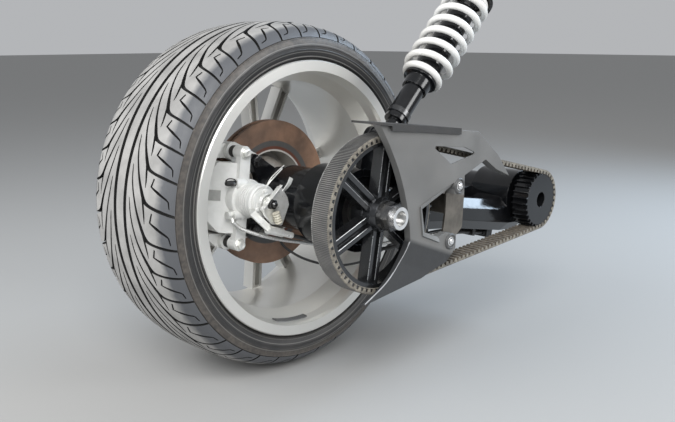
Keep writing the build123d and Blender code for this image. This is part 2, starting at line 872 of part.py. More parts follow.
def make_lower_seat():
    """A flange under the spring's end coil with a cone down to the damper."""
    top = lower_seat_start + seat_thickness
    inner = damper_radius + fit_gap
    section = Polyline(
        (inner, 0, lower_seat_start - lower_seat_cone),
        (inner + 4, 0, lower_seat_start - lower_seat_cone),
        (lower_seat_radius - 7, 0, lower_seat_start),
        (lower_seat_radius, 0, lower_seat_start + 2),
        (lower_seat_radius, 0, top),
        (inner, 0, top),
        close=True)
    return on_shock(revolve(make_face(section), Axis.Z))


def make_spring():
    """A coil between two closed end turns of smaller radius."""
    low = lower_seat_start + seat_thickness + wire_radius
    high = upper_seat_start - wire_radius
    start = low + spring_end_rise
    path = Helix(spring_pitch, high - spring_end_rise - start, spring_mean_radius)
    section = Plane(origin=path @ 0, z_dir=path % 0) * Circle(wire_radius)
    coil = Pos(0, 0, start) * sweep(section, path=path, is_frenet=True)
    ends = [Pos(0, 0, place) * Torus(spring_end_radius, wire_radius) for place in (low, high)]
    return on_shock(coil + ends[0] + ends[1])


def make_shock_rod():
    return on_shock(stand(rod_radius, damper_end, upper_seat_start))


def make_upper_mount():
    seat = stand(seat_radius, upper_seat_start, upper_seat_start + seat_thickness)
    neck = stand(15, upper_seat_start, upper_eye_at)
    eye = Pos(0, 0, upper_eye_at) * rod(upper_eye_radius, -upper_eye_width / 2, upper_eye_width / 2)
    hole = Pos(0, 0, upper_eye_at) * rod(shock_bolt_radius, -upper_eye_width, upper_eye_width)
    return on_shock(seat + neck + eye - hole)


def make_shock_bolt():
    low = ear_starts()[0]
    high = ear_starts()[1] + ear_thickness
    shank = rod(shock_bolt_radius, low - shock_head_length, high + shock_nut_length)
    head = hexagon(shock_bolt_flats, low - shock_head_length, low)
    nut = hexagon(shock_bolt_flats, high, high + shock_nut_length)
    return Pos(axle_x + shock_eye_back, 0, axle_z + shock_eye_up) * (shank + head + nut)


# Brake caliper, drawn outward along +X and then turned to its angle
def at_caliper(shape):
    return at_axle(around(caliper_angle) * shape)


pin_out = pin_radius_out * cos(radians(pin_half_angle))
pin_side = pin_radius_out * sin(radians(pin_half_angle))


def mirrored(half):
    """An outline from its half on one side of the caliper's middle."""
    return list(half) + [(out, -side, radius) for out, side, radius in reversed(half)]


def outward_rod(radius, out_from, out_to, y, side):
    """A rod along the caliper's outward direction."""
    middle = Pos((out_from + out_to) / 2, y, side)
    return middle * Rot(0, 90, 0) * Cylinder(radius, abs(out_to - out_from))


def make_caliper_bracket():
    """The cast bracket: two lugs, the pins' housings and the arms over the disc's edge."""
    far = bracket_near_y + bracket_depth
    bracket = plate(mirrored(bracket_half), bracket_near_y, far)
    for side in (-1, 1):
        arm = plate([(out, side * place, radius) for out, place, radius in bracket_arm],
                    bracket_near_y, bracket_arm_far_y)
        housing = rod(housing_radius, housing_near_y, far, pin_out, side * pin_side)
        bracket = bracket + arm + housing
    for side in (-1, 1):
        bracket = bracket - rod(pin_radius + fit_gap, housing_near_y - 1, far + 1, pin_out, side * pin_side)
        bolt_out, bolt_side = carrier_bolt_place
        bracket = bracket - rod(carrier_bolt_radius, bracket_near_y - 1, far + 1, bolt_out, side * bolt_side)
    window = offset(outline_face(pad_outline), amount=pad_window_gap)
    return at_caliper(bracket - extruded(window, disc_near_y - pad_gap - pad_thickness - 1, far + 1))


def make_brake_caliper():
    """A C over the disc with a sloped outer face, cut to its outline, and the drum with its bars."""
    finger_near_y = disc_far_y + pad_gap + pad_thickness
    section = make_face(Polyline(
        # outward, y
        (bar_inner, body_near_y), (slope_start, body_near_y), (bridge_outer, slope_end_y),
        (bridge_outer, finger_far_y), (finger_inner, finger_far_y), (finger_inner, finger_near_y),
        (bridge_inner, finger_near_y), (bridge_inner, body_far_y), (bar_inner, body_far_y),
        close=True))
    reach = 2 * pin_side
    shell = extrude(Plane.XY.offset(-reach) * section, amount=2 * reach)
    shell = shell & plate(caliper_outline, body_near_y - 1, finger_far_y + 1)
    body = rod(body_radius, body_near_y, body_far_y, drum_out, 0)
    piston = rod(piston_radius, body_far_y - 1, disc_near_y - pad_gap - pad_thickness, drum_out, 0)
    pieces = [shell, body, piston, make_drum()]
    for side in (-1, 1):
        bar = plate([
            (bar_inner, side * bar_side, 0),
            (bar_outer, side * bar_side, 0),
            (bar_outer, side * pin_side, 0),
            (bar_inner, side * pin_side, 0),
        ], bar_near_y, bar_near_y + bar_depth)
        boss = rod(ear_boss_radius, ear_near_y, ear_near_y + ear_depth, pin_out, side * pin_side)
        pieces += [bar, boss]
    for side in (bleed_side, hose_side):
        pieces.append(outward_rod(fitting_boss_radius, fitting_boss_inner, fitting_boss_outer, fitting_y, side))
    caliper = fused(pieces)
    for side in (-1, 1):
        hole = rod(pin_radius + fit_gap, ear_near_y - 1, ear_near_y + ear_depth + 1, pin_out, side * pin_side)
        caliper = caliper - hole
    return at_caliper(caliper)


def make_drum():
    """The parking brake's drum on the caliper, with its grooves and nose."""
    drum = rod(drum_radius, drum_front_y, body_near_y, drum_out, 0)
    for groove in drum_grooves:
        ring = tube(drum_radius + 1, drum_radius - drum_groove_depth, groove, groove + drum_groove_width,
                    drum_out, 0)
        drum = drum - ring
    return drum + rod(drum_nose_radius, drum_front_y - drum_nose_length, drum_front_y, drum_out, 0)


def make_slide_pins():
    pins = []
    for side in (-1, 1):
        place = (pin_out, side * pin_side)
        shank = rod(pin_radius, ear_near_y, bracket_near_y + bracket_depth, *place)
        flange = rod(pin_flange_radius, ear_near_y - 2, ear_near_y, *place)
        head = hexagon(pin_head_flats, ear_near_y - 2 - pin_head_length, ear_near_y - 2, *place)
        pins.append(shank + flange + head)
    return at_caliper(Compound(children=pins))


def make_slide_boots():
    boots = []
    for side in (-1, 1):
        start = ear_near_y + ear_depth
        boot = tube(boot_radius, pin_radius + fit_gap, start, housing_near_y, pin_out, side * pin_side)
        boots.append(boot)
    return at_caliper(Compound(children=boots))


def make_brake_pads():
    near = plate(pad_outline, disc_near_y - pad_gap - pad_thickness, disc_near_y - pad_gap)
    far = plate(pad_outline, disc_far_y + pad_gap, disc_far_y + pad_gap + pad_thickness)
    return at_caliper(Compound(children=[near, far]))


def make_park_lever():
    """The lever on the drum's nose, with its pivot nut; it is drawn in the caliper's frame."""
    plate_near = drum_front_y - lever_stand_off
    boss = rod(lever_boss_radius, plate_near, drum_front_y - drum_nose_length, drum_out, 0)
    arm = plate(lever_outline, plate_near - lever_thickness, plate_near)
    nut_start = plate_near - lever_thickness
    nut = hexagon(lever_nut_flats, nut_start - lever_nut_length, nut_start, drum_out, 0)
    return at_caliper(boss + arm + nut)


def make_park_spring():
    """Two turns of the return spring round the lever's boss."""
    turns = []
    inner = lever_boss_radius + 1
    for number in range(2):
        near = drum_front_y - drum_nose_length - 1 - 4 * number
        turns.append(tube(inner + 2.5, inner, near - 2.5, near, drum_out, 0))
    return at_caliper(Compound(children=turns))


def make_cable_stop():
    """The barrel that holds the parking cable, on an arm that slants from the drum's face."""
    front = Vector(*cable_route[0])
    along = (Vector(*cable_route[1]) - front).normalized()
    line = Plane(origin=front, z_dir=along)
    nose = line * Pos(0, 0, -ferrule_length / 2) * Cylinder(ferrule_nose_radius, ferrule_length)
    barrel_middle = ferrule_barrel / 2 - ferrule_length
    barrel = line * Pos(0, 0, barrel_middle) * Cylinder(ferrule_radius, ferrule_barrel)
    foot = caliper_place(stop_foot[0], drum_front_y - stop_thickness, stop_foot[1])
    hold = caliper_place(stop_hold[0], front.Y, stop_hold[1])
    arm_length = (hold - foot).length
    arm_line = Plane(origin=foot, x_dir=(0, 1, 0), z_dir=hold - foot)
    arm = arm_line * Pos(0, 0, arm_length / 2) * Box(stop_thickness, stop_width, arm_length)
    pad_start = drum_front_y - 2 * stop_thickness
    pad = at_caliper(rod(stop_width / 2, pad_start, drum_front_y, *stop_foot))
    drum_bore = at_caliper(rod(drum_radius + fit_gap, drum_front_y, 0, drum_out, 0))
    return (arm + pad - drum_bore) + nose + barrel


def caliper_place(out, y, side):
    """A point given outward, along Y and around, as it lies on the vehicle."""
    turn = radians(caliper_angle)
    x = axle_x + out * cos(turn) - side * sin(turn)
    z = axle_z + out * sin(turn) + side * cos(turn)
    return Vector(x, y, z)


def make_hose_banjo():
    """The brake hose's banjo and its bolt, on the end of the caliper's lower boss."""
    start = fitting_boss_outer
    end = start + banjo_width
    eye = outward_rod(banjo_radius, start, end, fitting_y, hose_side)
    bolt = Pos(end, fitting_y, hose_side) * Rot(0, 0, 90) * hexagon(bolt_flats, -banjo_bolt_length, 0)
    middle = caliper_place((start + end) / 2, fitting_y, hose_side)
    hose_start = Vector(*hose_route[0])
    neck_length = (hose_start - middle).length + hose_radius
    neck_line = Plane(origin=middle, z_dir=hose_start - middle)
    neck = neck_line * Pos(0, 0, neck_length / 2) * Cylinder(banjo_width / 2, neck_length)
    # The neck ends squarely on the hose's first run
    run = (Vector(*hose_route[1]) - hose_start).normalized()
    reach = 2 * banjo_width
    beyond = Plane(origin=hose_start - run * seat_gap, z_dir=run) * Pos(0, 0, reach / 2)
    return at_caliper(eye + bolt) + (neck - beyond * Box(reach, reach, reach))


def make_bleed_nipple():
    """The nipple on the end of the caliper's upper boss, under its rubber cap."""
    start = fitting_boss_outer
    hex_base = Rot(0, 0, 90) * hexagon(nipple_flats, -nipple_base_length, 0)
    cap = outward_rod(nipple_cap_radius, start + nipple_base_length, start + nipple_length, fitting_y,
                      bleed_side)
    return at_caliper(Pos(start, fitting_y, bleed_side) * hex_base + cap)


# Belt guard, drawn from the axle and moved to it
def make_belt_guard():
    lines = [Line(a, b) for a, b in zip(guard_corners, guard_corners[1:])]
    lines.append(ThreePointArc(guard_corners[-1], guard_rear_low, guard_rear_middle))
    lines.append(ThreePointArc(guard_rear_middle, guard_rear_high, guard_corners[0]))
    outline = make_face(lines)
    inner = offset(outline, amount=-guard_thickness)
    deep = guard_face_y + guard_return
    skin = extruded(outline, guard_face_y, guard_face_y + guard_thickness)
    wall = extruded(outline, guard_face_y, deep) - extruded(inner, guard_face_y - 1, deep + 1)
    window = plate(guard_window, guard_face_y - 1, guard_face_y + guard_thickness + 1)
    guard = skin + wall - window
    for x, z in guard_bolt_places:
        guard = guard + rod(guard_boss_radius, guard_face_y, deep, x, z)
        guard = guard - rod(guard_bolt_radius, guard_face_y - 1, deep + 1, x, z)
    return at_axle(guard)


def make_guard_cap():
    """The dark cap over the guard's top edge, with a short lip down its face."""
    rear, rear_top = guard_corners[0]
    slope = (guard_corners[1][1] - rear_top) / (guard_corners[1][0] - rear)
    low_rear = rear_top + seat_gap
    low_front = low_rear + slope * (cap_front - rear)
    top = plate([
        (rear, low_rear, 0), (cap_front, low_front, 0),
        (cap_front, low_front + cap_thickness, 0), (rear, low_rear + cap_thickness, 0),
    ], guard_face_y - cap_thickness, cap_inner_y)
    lip_rear = rear + 3 * cap_lip_drop
    lip_low = low_rear + slope * (lip_rear - rear)
    lip = plate([
        (lip_rear, lip_low - cap_lip_drop, 0), (cap_front, low_front - cap_lip_drop, 0),
        (cap_front, low_front + 1, 0), (lip_rear, lip_low + 1, 0),
    ], guard_face_y - cap_thickness, guard_face_y - seat_gap)
    return at_axle(top + lip)


def make_guard_bracket():
    near = guard_face_y + guard_return
    far = near + bracket_thickness
    left, right, low, high = bracket_leg
    face = plate(bracket_corners, near, far)
    for x, z in guard_bolt_places:
        face = face - rod(guard_bolt_radius, near - 1, far + 1, x, z)
    return at_axle(face + block(left, right, near, beam_near_y, low, high))


def make_guard_bolts():
    bolts = []
    radius = guard_bolt_radius
    for x, z in guard_bolt_places:
        deep = guard_face_y + guard_return + bracket_thickness
        head = rod(1.75 * radius, guard_face_y - 1.25 * radius, guard_face_y, x, z)
        bolts.append(head + rod(radius - fit_gap, guard_face_y - 1, deep, x, z))
    return at_axle(Compound(children=bolts))


# Cords held on the arm: points from the brake forward
hose_route = [
    (-717, -80, 31), (-706, -88, 17), (-678, -112, 3), (-641, -131, -9),
    (-598, -141, -20), (-532, -143, -39), (-460, -150, -53), (-395, -168, -58),
    (-330, -190, -51), (-270, -190, -60), (-215, -190, -60.5), (-160, -190, -66.7),
    (-80, -190, -82.9),
]
cable_route = [
    (-633, -150, 2), (-590, -151, -14), (-542, -152, -33), (-488, -158, -52),
    (-436, -176, -62), (-385, -198, -60), (-330, -208, -51), (-270, -208, -60),
    (-215, -208, -60.5), (-160, -208, -66.7), (-80, -208, -82.9),
]
wire_route = [
    (-590, -62, -24), (-590, -78, -42), (-571, -105, -63), (-544, -132, -76),
    (-496, -147, -88), (-440, -156, -90), (-385, -165, -72), (-330, -173, -51),
    (-270, -173, -60), (-215, -173, -60.5), (-160, -173, -66.7), (-80, -173, -82.9),
]


def make_held_cord(route, radius):
    radii = bend_radii(route)
    print("bends", [round(r) for r in radii])
    return cord(route, radius, radii)


def under_beam(shape, x):
    """Moves a shape drawn below the origin to the beam's underside at this x."""
    start, end = (beam_low[0], beam_low[1]) if x < beam_low[1][0] else (beam_low[1], beam_low[2])
    slope = (end[1] - start[1]) / (end[0] - start[0])
    z = start[1] + slope * (x - start[0])
    return Pos(x, 0, z) * Rot(0, -degrees(atan2(slope, 1)), 0) * shape


def lane_span(margin):
    """The cords' lanes from side to side, with a margin."""
    first_y, first_radius = cord_lanes[0]
    last_y, last_radius = cord_lanes[-1]
    return first_y - first_radius - margin, last_y + last_radius + margin


def make_cable_clips():
    """A clip under the beam at each place, with a slot for each cord."""
    clips = []
    for x, depth in clip_places:
        clip = block(-clip_half, clip_half, *lane_span(clip_margin), -depth - clip_wall, 0)
        for y, radius in cord_lanes:
            room = radius + clip_room
            reach = 4 * clip_half
            clip = clip - block(-reach, reach, y - room, y + room, -depth - room, -depth + room)
        clips.append(under_beam(clip, x))
    return Compound(children=clips)


def make_cord_connectors():
    """The block near the pivot that the three cords end in, each in its fitting."""
    x = cable_route[-1][0]
    depth = clip_places[1][1]
    start = depth * (beam_low[1][1] - beam_low[2][1]) / (beam_low[2][0] - beam_low[1][0]) + 0.5
    near = start + fitting_length
    low = -depth - clip_wall - 2
    body = block(near, near + connector_length, *lane_span(clip_margin + 2), low, 0)
    for y, radius in cord_lanes:
        fitting = Rot(0, 90, 0) * Cylinder(radius + fitting_wall, fitting_length)
        body = body + Pos(start + fitting_length / 2, y, -depth) * fitting
    return under_beam(body, x)


builders = {
    "tyre": make_tyre,
    "rim": make_rim,
    "wheel_hub": make_wheel_hub,
    "lug_nuts": make_lug_nuts,
    "centre_cap": make_centre_cap,
    "brake_disc": make_brake_disc,
    "axle_shaft": make_axle_shaft,
    "driven_pulley": make_driven_pulley,
    "axle_collar": make_axle_collar,
    "axle_nut": make_axle_nut,
    "lock_ring": make_lock_ring,
    "drive_pulley": make_drive_pulley,
    "drive_belt": make_belt,
    "bearing_carrier": make_bearing_carrier,
    "axle_bearings": make_axle_bearings,
    "swing_arm": make_swing_arm,
    "pivot_bushes": make_pivot_bushes,
    "shock_damper": make_shock_damper,
    "shock_collar": make_shock_collar,
    "shock_lower_seat": make_lower_seat,
    "shock_spring": make_spring,
    "shock_rod": make_shock_rod,
    "shock_upper_mount": make_upper_mount,
    "shock_bolt": make_shock_bolt,
    "caliper_bracket": make_caliper_bracket,
    "brake_caliper": make_brake_caliper,
    "slide_pins": make_slide_pins,
    "slide_boots": make_slide_boots,
    "brake_pads": make_brake_pads,
    "park_lever": make_park_lever,
    "park_spring": make_park_spring,
    "cable_stop": make_cable_stop,
    "hose_banjo": make_hose_banjo,
    "bleed_nipple": make_bleed_nipple,
    "cable_clips": make_cable_clips,
    "cord_connectors": make_cord_connectors,
    "belt_guard": make_belt_guard,
    "guard_cap": make_guard_cap,
    "guard_bracket": make_guard_bracket,
    "guard_bolts": make_guard_bolts,
}

os.makedirs("parts", exist_ok=True)
for name, builder in builders.items():
    export_step(builder(), f"parts/{name}.step")

export_step(make_held_cord(hose_route, hose_radius), "parts/brake_hose.step")
export_step(make_held_cord(cable_route, cable_radius), "parts/park_cable.step")
export_step(make_held_cord(wire_route, wire_lead_radius), "parts/sensor_wire.step")
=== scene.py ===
import math
from bisect import bisect
from math import acos, atan2, cos, pi, radians, sin, sqrt

import bmesh
import bpy
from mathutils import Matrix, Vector
from mathutils.geometry import delaunay_2d_cdt


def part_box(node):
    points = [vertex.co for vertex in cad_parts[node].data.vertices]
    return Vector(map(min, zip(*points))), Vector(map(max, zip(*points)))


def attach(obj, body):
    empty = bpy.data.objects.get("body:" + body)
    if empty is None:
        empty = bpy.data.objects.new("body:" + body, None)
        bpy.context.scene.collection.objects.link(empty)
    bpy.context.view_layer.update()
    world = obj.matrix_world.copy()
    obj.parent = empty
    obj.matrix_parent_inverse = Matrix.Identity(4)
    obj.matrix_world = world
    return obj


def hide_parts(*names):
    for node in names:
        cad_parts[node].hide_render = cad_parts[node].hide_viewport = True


# The rear wheel, swing arm and belt drive of a three-wheeled car. Metres, +X forward,
# +Y away from the belt, +Z up; the origin is the swing arm's pivot.

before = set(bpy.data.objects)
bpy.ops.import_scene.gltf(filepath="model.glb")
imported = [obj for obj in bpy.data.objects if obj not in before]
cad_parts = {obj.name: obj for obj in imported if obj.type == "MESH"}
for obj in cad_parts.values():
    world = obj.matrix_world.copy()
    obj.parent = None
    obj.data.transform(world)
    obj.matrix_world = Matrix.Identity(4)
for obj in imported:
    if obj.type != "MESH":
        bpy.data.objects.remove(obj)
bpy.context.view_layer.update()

# Sizes read from the frame
tyre_low, tyre_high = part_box("tyre")
axle_x = (tyre_low.x + tyre_high.x) / 2
axle_z = (tyre_low.z + tyre_high.z) / 2
tyre_radius = (tyre_high.z - tyre_low.z) / 2
belt_low, belt_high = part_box("drive_belt")
floor_z = tyre_low.z

# Camera, fitted to the circles of the wheel in the photograph
camera_place = Vector((-1.5898, -1.1936, 0.3660))
camera_heading = 46.01
camera_fall = 11.67
photo_width = 675
focal_pixels = 771.8
horizon_shift_pixels = -13.0
sensor_width = 36.0

# Floor and light
floor_half = 30
floor_colour = (0.34, 0.34, 0.335, 1)
floor_rough = 0.9
world_colour = (0.95, 0.97, 1.0, 1)
world_strength = 0.48
white = (1, 1, 1)
sky_blue = (0.66, 0.82, 1.0)
lamps = (
    # name, place, aim, size, power, colour
    ("key", (-2.6, -2.2, 2.4), (-0.4, -0.1, 0.1), 2.1, 122, white),
    ("side", (-2.8, 0.8, 1.2), (-0.5, 0, 0), 2.0, 56, white),
    ("fill", (0.6, -2.6, 1.0), (-0.2, -0.1, 0.1), 1.1, 30, white),
    ("sky", (1.77, -0.73, 1.46), (-0.25, -0.26, 0.06), 1.45, 52, sky_blue),
)


def add_object(name, data):
    made = bpy.data.objects.new(name, data)
    bpy.context.scene.collection.objects.link(made)
    return made


def make_camera():
    data = bpy.data.cameras.new("camera")
    data.sensor_width = sensor_width
    data.lens = focal_pixels * sensor_width / photo_width
    data.shift_y = horizon_shift_pixels / photo_width
    camera = add_object("camera", data)
    camera.location = camera_place
    camera.rotation_euler = (radians(90 - camera_fall), 0, radians(-camera_heading))
    bpy.context.scene.camera = camera


def make_floor():
    data = bpy.data.meshes.new("floor")
    sides = ((-1, -1), (1, -1), (1, 1), (-1, 1))
    data.from_pydata([(floor_half * x, floor_half * y, floor_z) for x, y in sides], [], [(0, 1, 2, 3)])
    floor = add_object("floor", data)
    paint = bpy.data.materials.new("floor_paint")
    paint.use_nodes = True
    shader = paint.node_tree.nodes["Principled BSDF"]
    shader.inputs["Base Color"].default_value = floor_colour
    shader.inputs["Roughness"].default_value = floor_rough
    data.materials.append(paint)


def make_world():
    """Soft even light, which is also the pale backdrop."""
    world = bpy.data.worlds.new("studio")
    bpy.context.scene.world = world
    world.use_nodes = True
    light = world.node_tree.nodes["Background"]
    light.inputs["Color"].default_value = world_colour
    light.inputs["Strength"].default_value = world_strength


def make_lamp(name, place, aim, size, power, colour):
    data = bpy.data.lights.new(name, "AREA")
    data.shape = "SQUARE"
    data.size = size
    data.energy = power
    data.color = colour
    lamp = add_object(name, data)
    lamp.location = place
    lamp.rotation_euler = (Vector(aim) - Vector(place)).to_track_quat("-Z", "Y").to_euler()


# Material recipes
class Look:
    """A material's shader, with short ways to add the nodes that feed it."""

    def __init__(self, name):
        self.material = bpy.data.materials.new(name)
        self.material.use_nodes = True
        self.nodes = self.material.node_tree.nodes
        self.links = self.material.node_tree.links
        self.shader = self.nodes["Principled BSDF"].inputs
        self.place = self.nodes.new("ShaderNodeTexCoord").outputs["Object"]

    def feed(self, socket, value):
        """Link a node's output to the socket, or set the socket to a number, vector or colour."""
        if isinstance(value, bpy.types.NodeSocket):
            self.links.new(value, socket)
        elif socket.type == "RGBA":
            socket.default_value = (*value, 1)
        else:
            socket.default_value = value

    def node(self, kind, inputs, output=0, **settings):
        """One output of a new node with these inputs and settings."""
        node = self.nodes.new(kind)
        for setting, value in settings.items():
            setattr(node, setting, value)
        for key, value in inputs.items():
            self.feed(node.inputs[key], value)
        return node.outputs[output]

    def noise(self, scale, detail):
        inputs = {"Vector": self.place, "Scale": scale, "Detail": detail}
        return self.node("ShaderNodeTexNoise", inputs, "Fac")

    def spread(self, value, low, high, to_low, to_high):
        """The value's range from low to high, moved to another range and held at its ends."""
        ends = {"From Min": low, "From Max": high, "To Min": to_low, "To Max": to_high}
        return self.node("ShaderNodeMapRange", {"Value": value, **ends}, "Result")

    def mix(self, factor, first, second):
        return self.node("ShaderNodeMix", {0: factor, 6: first, 7: second}, 2, data_type="RGBA")

    def maths(self, operation, *values):
        return self.node("ShaderNodeMath", dict(enumerate(values)), operation=operation)

    def vector(self, operation, *values, output=0):
        return self.node("ShaderNodeVectorMath", dict(enumerate(values)), output, operation=operation)

    def part(self, vector, axis):
        return self.node("ShaderNodeSeparateXYZ", {0: vector}, axis)

    def axle_distance(self):
        """The distance of a point from the wheel's axle line."""
        offset = self.vector("SUBTRACT", self.place, (axle_x, 0, axle_z))
        return self.vector("LENGTH", self.vector("MULTIPLY", offset, (1, 0, 1)), output="Value")

    def ragged(self, value, scale, detail, reach):
        """The value with noise added, for an edge that isn't straight."""
        return self.maths("ADD", value, self.maths("MULTIPLY", self.noise(scale, detail), reach))

    def paint(self, factor, colour):
        """Lay another colour over the present one."""
        base = self.shader["Base Color"]
        self.feed(base, self.mix(factor, base.links[0].from_socket, colour))

    def bump(self, height, distance):
        inputs = {"Height": height, "Distance": distance, "Strength": 1.0}
        self.feed(self.shader["Normal"], self.node("ShaderNodeBump", inputs, "Normal"))

    def add_dust(self, amount):
        """Dust lies on the faces that look up, in patches."""
        normal = self.nodes.new("ShaderNodeNewGeometry").outputs["Normal"]
        upward = self.spread(self.part(normal, "Z"), *dust_facing)
        patches = self.spread(self.noise(*dust_noise), *dust_patches)
        share = self.maths("MULTIPLY", self.maths("MULTIPLY", upward, patches), amount)
        self.paint(share, dust_colour)

    def round_edges(self, radius):
        """Sharp corners catch the light as if they had this radius."""
        rounded = self.node("ShaderNodeBevel", {"Radius": radius}, "Normal", samples=4)
        normal = self.shader["Normal"]
        target = normal.links[0].from_node.inputs["Normal"] if normal.is_linked else normal
        self.feed(target, rounded)


coat_rough = 0.08
dust_colour = (0.30, 0.28, 0.25)
dust_noise = (45, 6)
# Ranges for spread(): from low and high, to low and high
dust_facing = (-0.3, 1.0, 0.15, 1.0)
dust_patches = (0.35, 0.7, 0.3, 1.0)
dust_streaks = (0.3, 0.7, 0.25, 0.85)


def surface(name, base, second, rough=0.5, rough_spread=0.08, metal=0.0, patch=30.0, grain=0.0,
            grain_height=0.0, coat=0.0, dust=0.0, edge=0.0):
    """A look whose colour drifts between two tones, with grain, uneven gloss and dust on top."""
    look = Look(name)
    look.feed(look.shader["Metallic"], metal)
    if coat:
        look.feed(look.shader["Coat Weight"], coat)
        look.feed(look.shader["Coat Roughness"], coat_rough)
    drift = look.spread(look.noise(patch, 5), 0.35, 0.65, 0, 1)
    look.feed(look.shader["Base Color"], look.mix(drift, base, second))
    if dust:
        look.add_dust(dust)
    gloss = look.spread(look.noise(patch * 4, 4), 0.3, 0.7, rough - rough_spread, rough + rough_spread)
    look.feed(look.shader["Roughness"], gloss)
    if grain:
        look.bump(look.noise(grain, 3), grain_height)
    if edge:
        look.round_edges(edge)
    return look


disc_bands = (
    # radius where the band starts, radius where it is whole, colour
    (0.1080, 0.1065, (0.10, 0.098, 0.095)),
    (0.0965, 0.0950, (0.15, 0.055, 0.034)),
    # pale bare steel, lightened as painted light, since the hat's inside lies in shade
    (0.0900, 0.0885, (0.62, 0.60, 0.56)),
)
disc_rings = 5200
disc_ring_depth = 0.0002
shoulder_colour = (0.085, 0.089, 0.097)
shoulder_ragged = (60, 4, 0.010)
shoulder_fade = 0.012
shoulder_gloss = 0.32
dust_band = (0.303, 0.311)
dust_band_ragged = (40, 5, 0.012)
dust_band_colour = (0.112, 0.098, 0.085)
worn_rings = (0.2785, 0.2872, 0.3012)
worn_ring_half = (0.0005, 0.0011)
worn_ring_colour = (0.17, 0.165, 0.155)
guard_shade = (0.036, 0.037, 0.039)
guard_shade_fade = (-0.003, 0.006)


def rust_disc(look):
    """Bare and rusty bands inside the swept face, the innermost one pale as painted light on the shaded hat,
    and turned grooves round the axle.
    """
    radius = look.axle_distance()
    for start, whole, colour in disc_bands:
        look.paint(look.spread(radius, start, whole, 0, 1), colour)
    rings = look.maths("SINE", look.maths("MULTIPLY", radius, disc_rings))
    look.bump(look.maths("MULTIPLY", rings, look.noise(160, 3)), disc_ring_depth)


def wear_tread(look):
    """Worn grey rubber on top of the tread, darker and smoother where the shoulder turns down."""
    aside = look.maths("ABSOLUTE", look.part(look.place, "Y"))
    edge = look.ragged(aside, *shoulder_ragged)
    shoulder = look.spread(edge, worn_edge, worn_edge + shoulder_fade, 0, 1)
    look.paint(shoulder, shoulder_colour)
    rough = look.shader["Roughness"]
    smoother = look.maths("MULTIPLY", shoulder, shoulder_gloss)
    look.feed(rough, look.maths("SUBTRACT", rough.links[0].from_socket, smoother))


def dust_sidewall(look):
    """A band of brown dust under the shoulder, and the worn tops of three raised rings."""
    radius = look.axle_distance()
    outer = look.spread(look.ragged(radius, *dust_band_ragged), *dust_band, 0, 1)
    streaks = look.spread(look.noise(130, 5), *dust_streaks)
    look.paint(look.maths("MULTIPLY", outer, streaks), dust_band_colour)
    for ring in worn_rings:
        apart = look.maths("ABSOLUTE", look.maths("SUBTRACT", radius, ring))
        look.paint(look.spread(apart, *worn_ring_half, 0.7, 0), worn_ring_colour)


def shade_guard(look):
    """The panel under the fold is darker, as it turns away from the light."""
    across = Vector((below_fold.x, 0, below_fold.y))
    beyond = look.vector("DOT_PRODUCT", look.place, across, output="Value")
    start = Vector((axle_x + fold_start.x, 0, axle_z + fold_start.y)).dot(across)
    before, after = guard_shade_fade
    look.paint(look.spread(beyond, start + before, start + after, 0, 1), guard_shade)


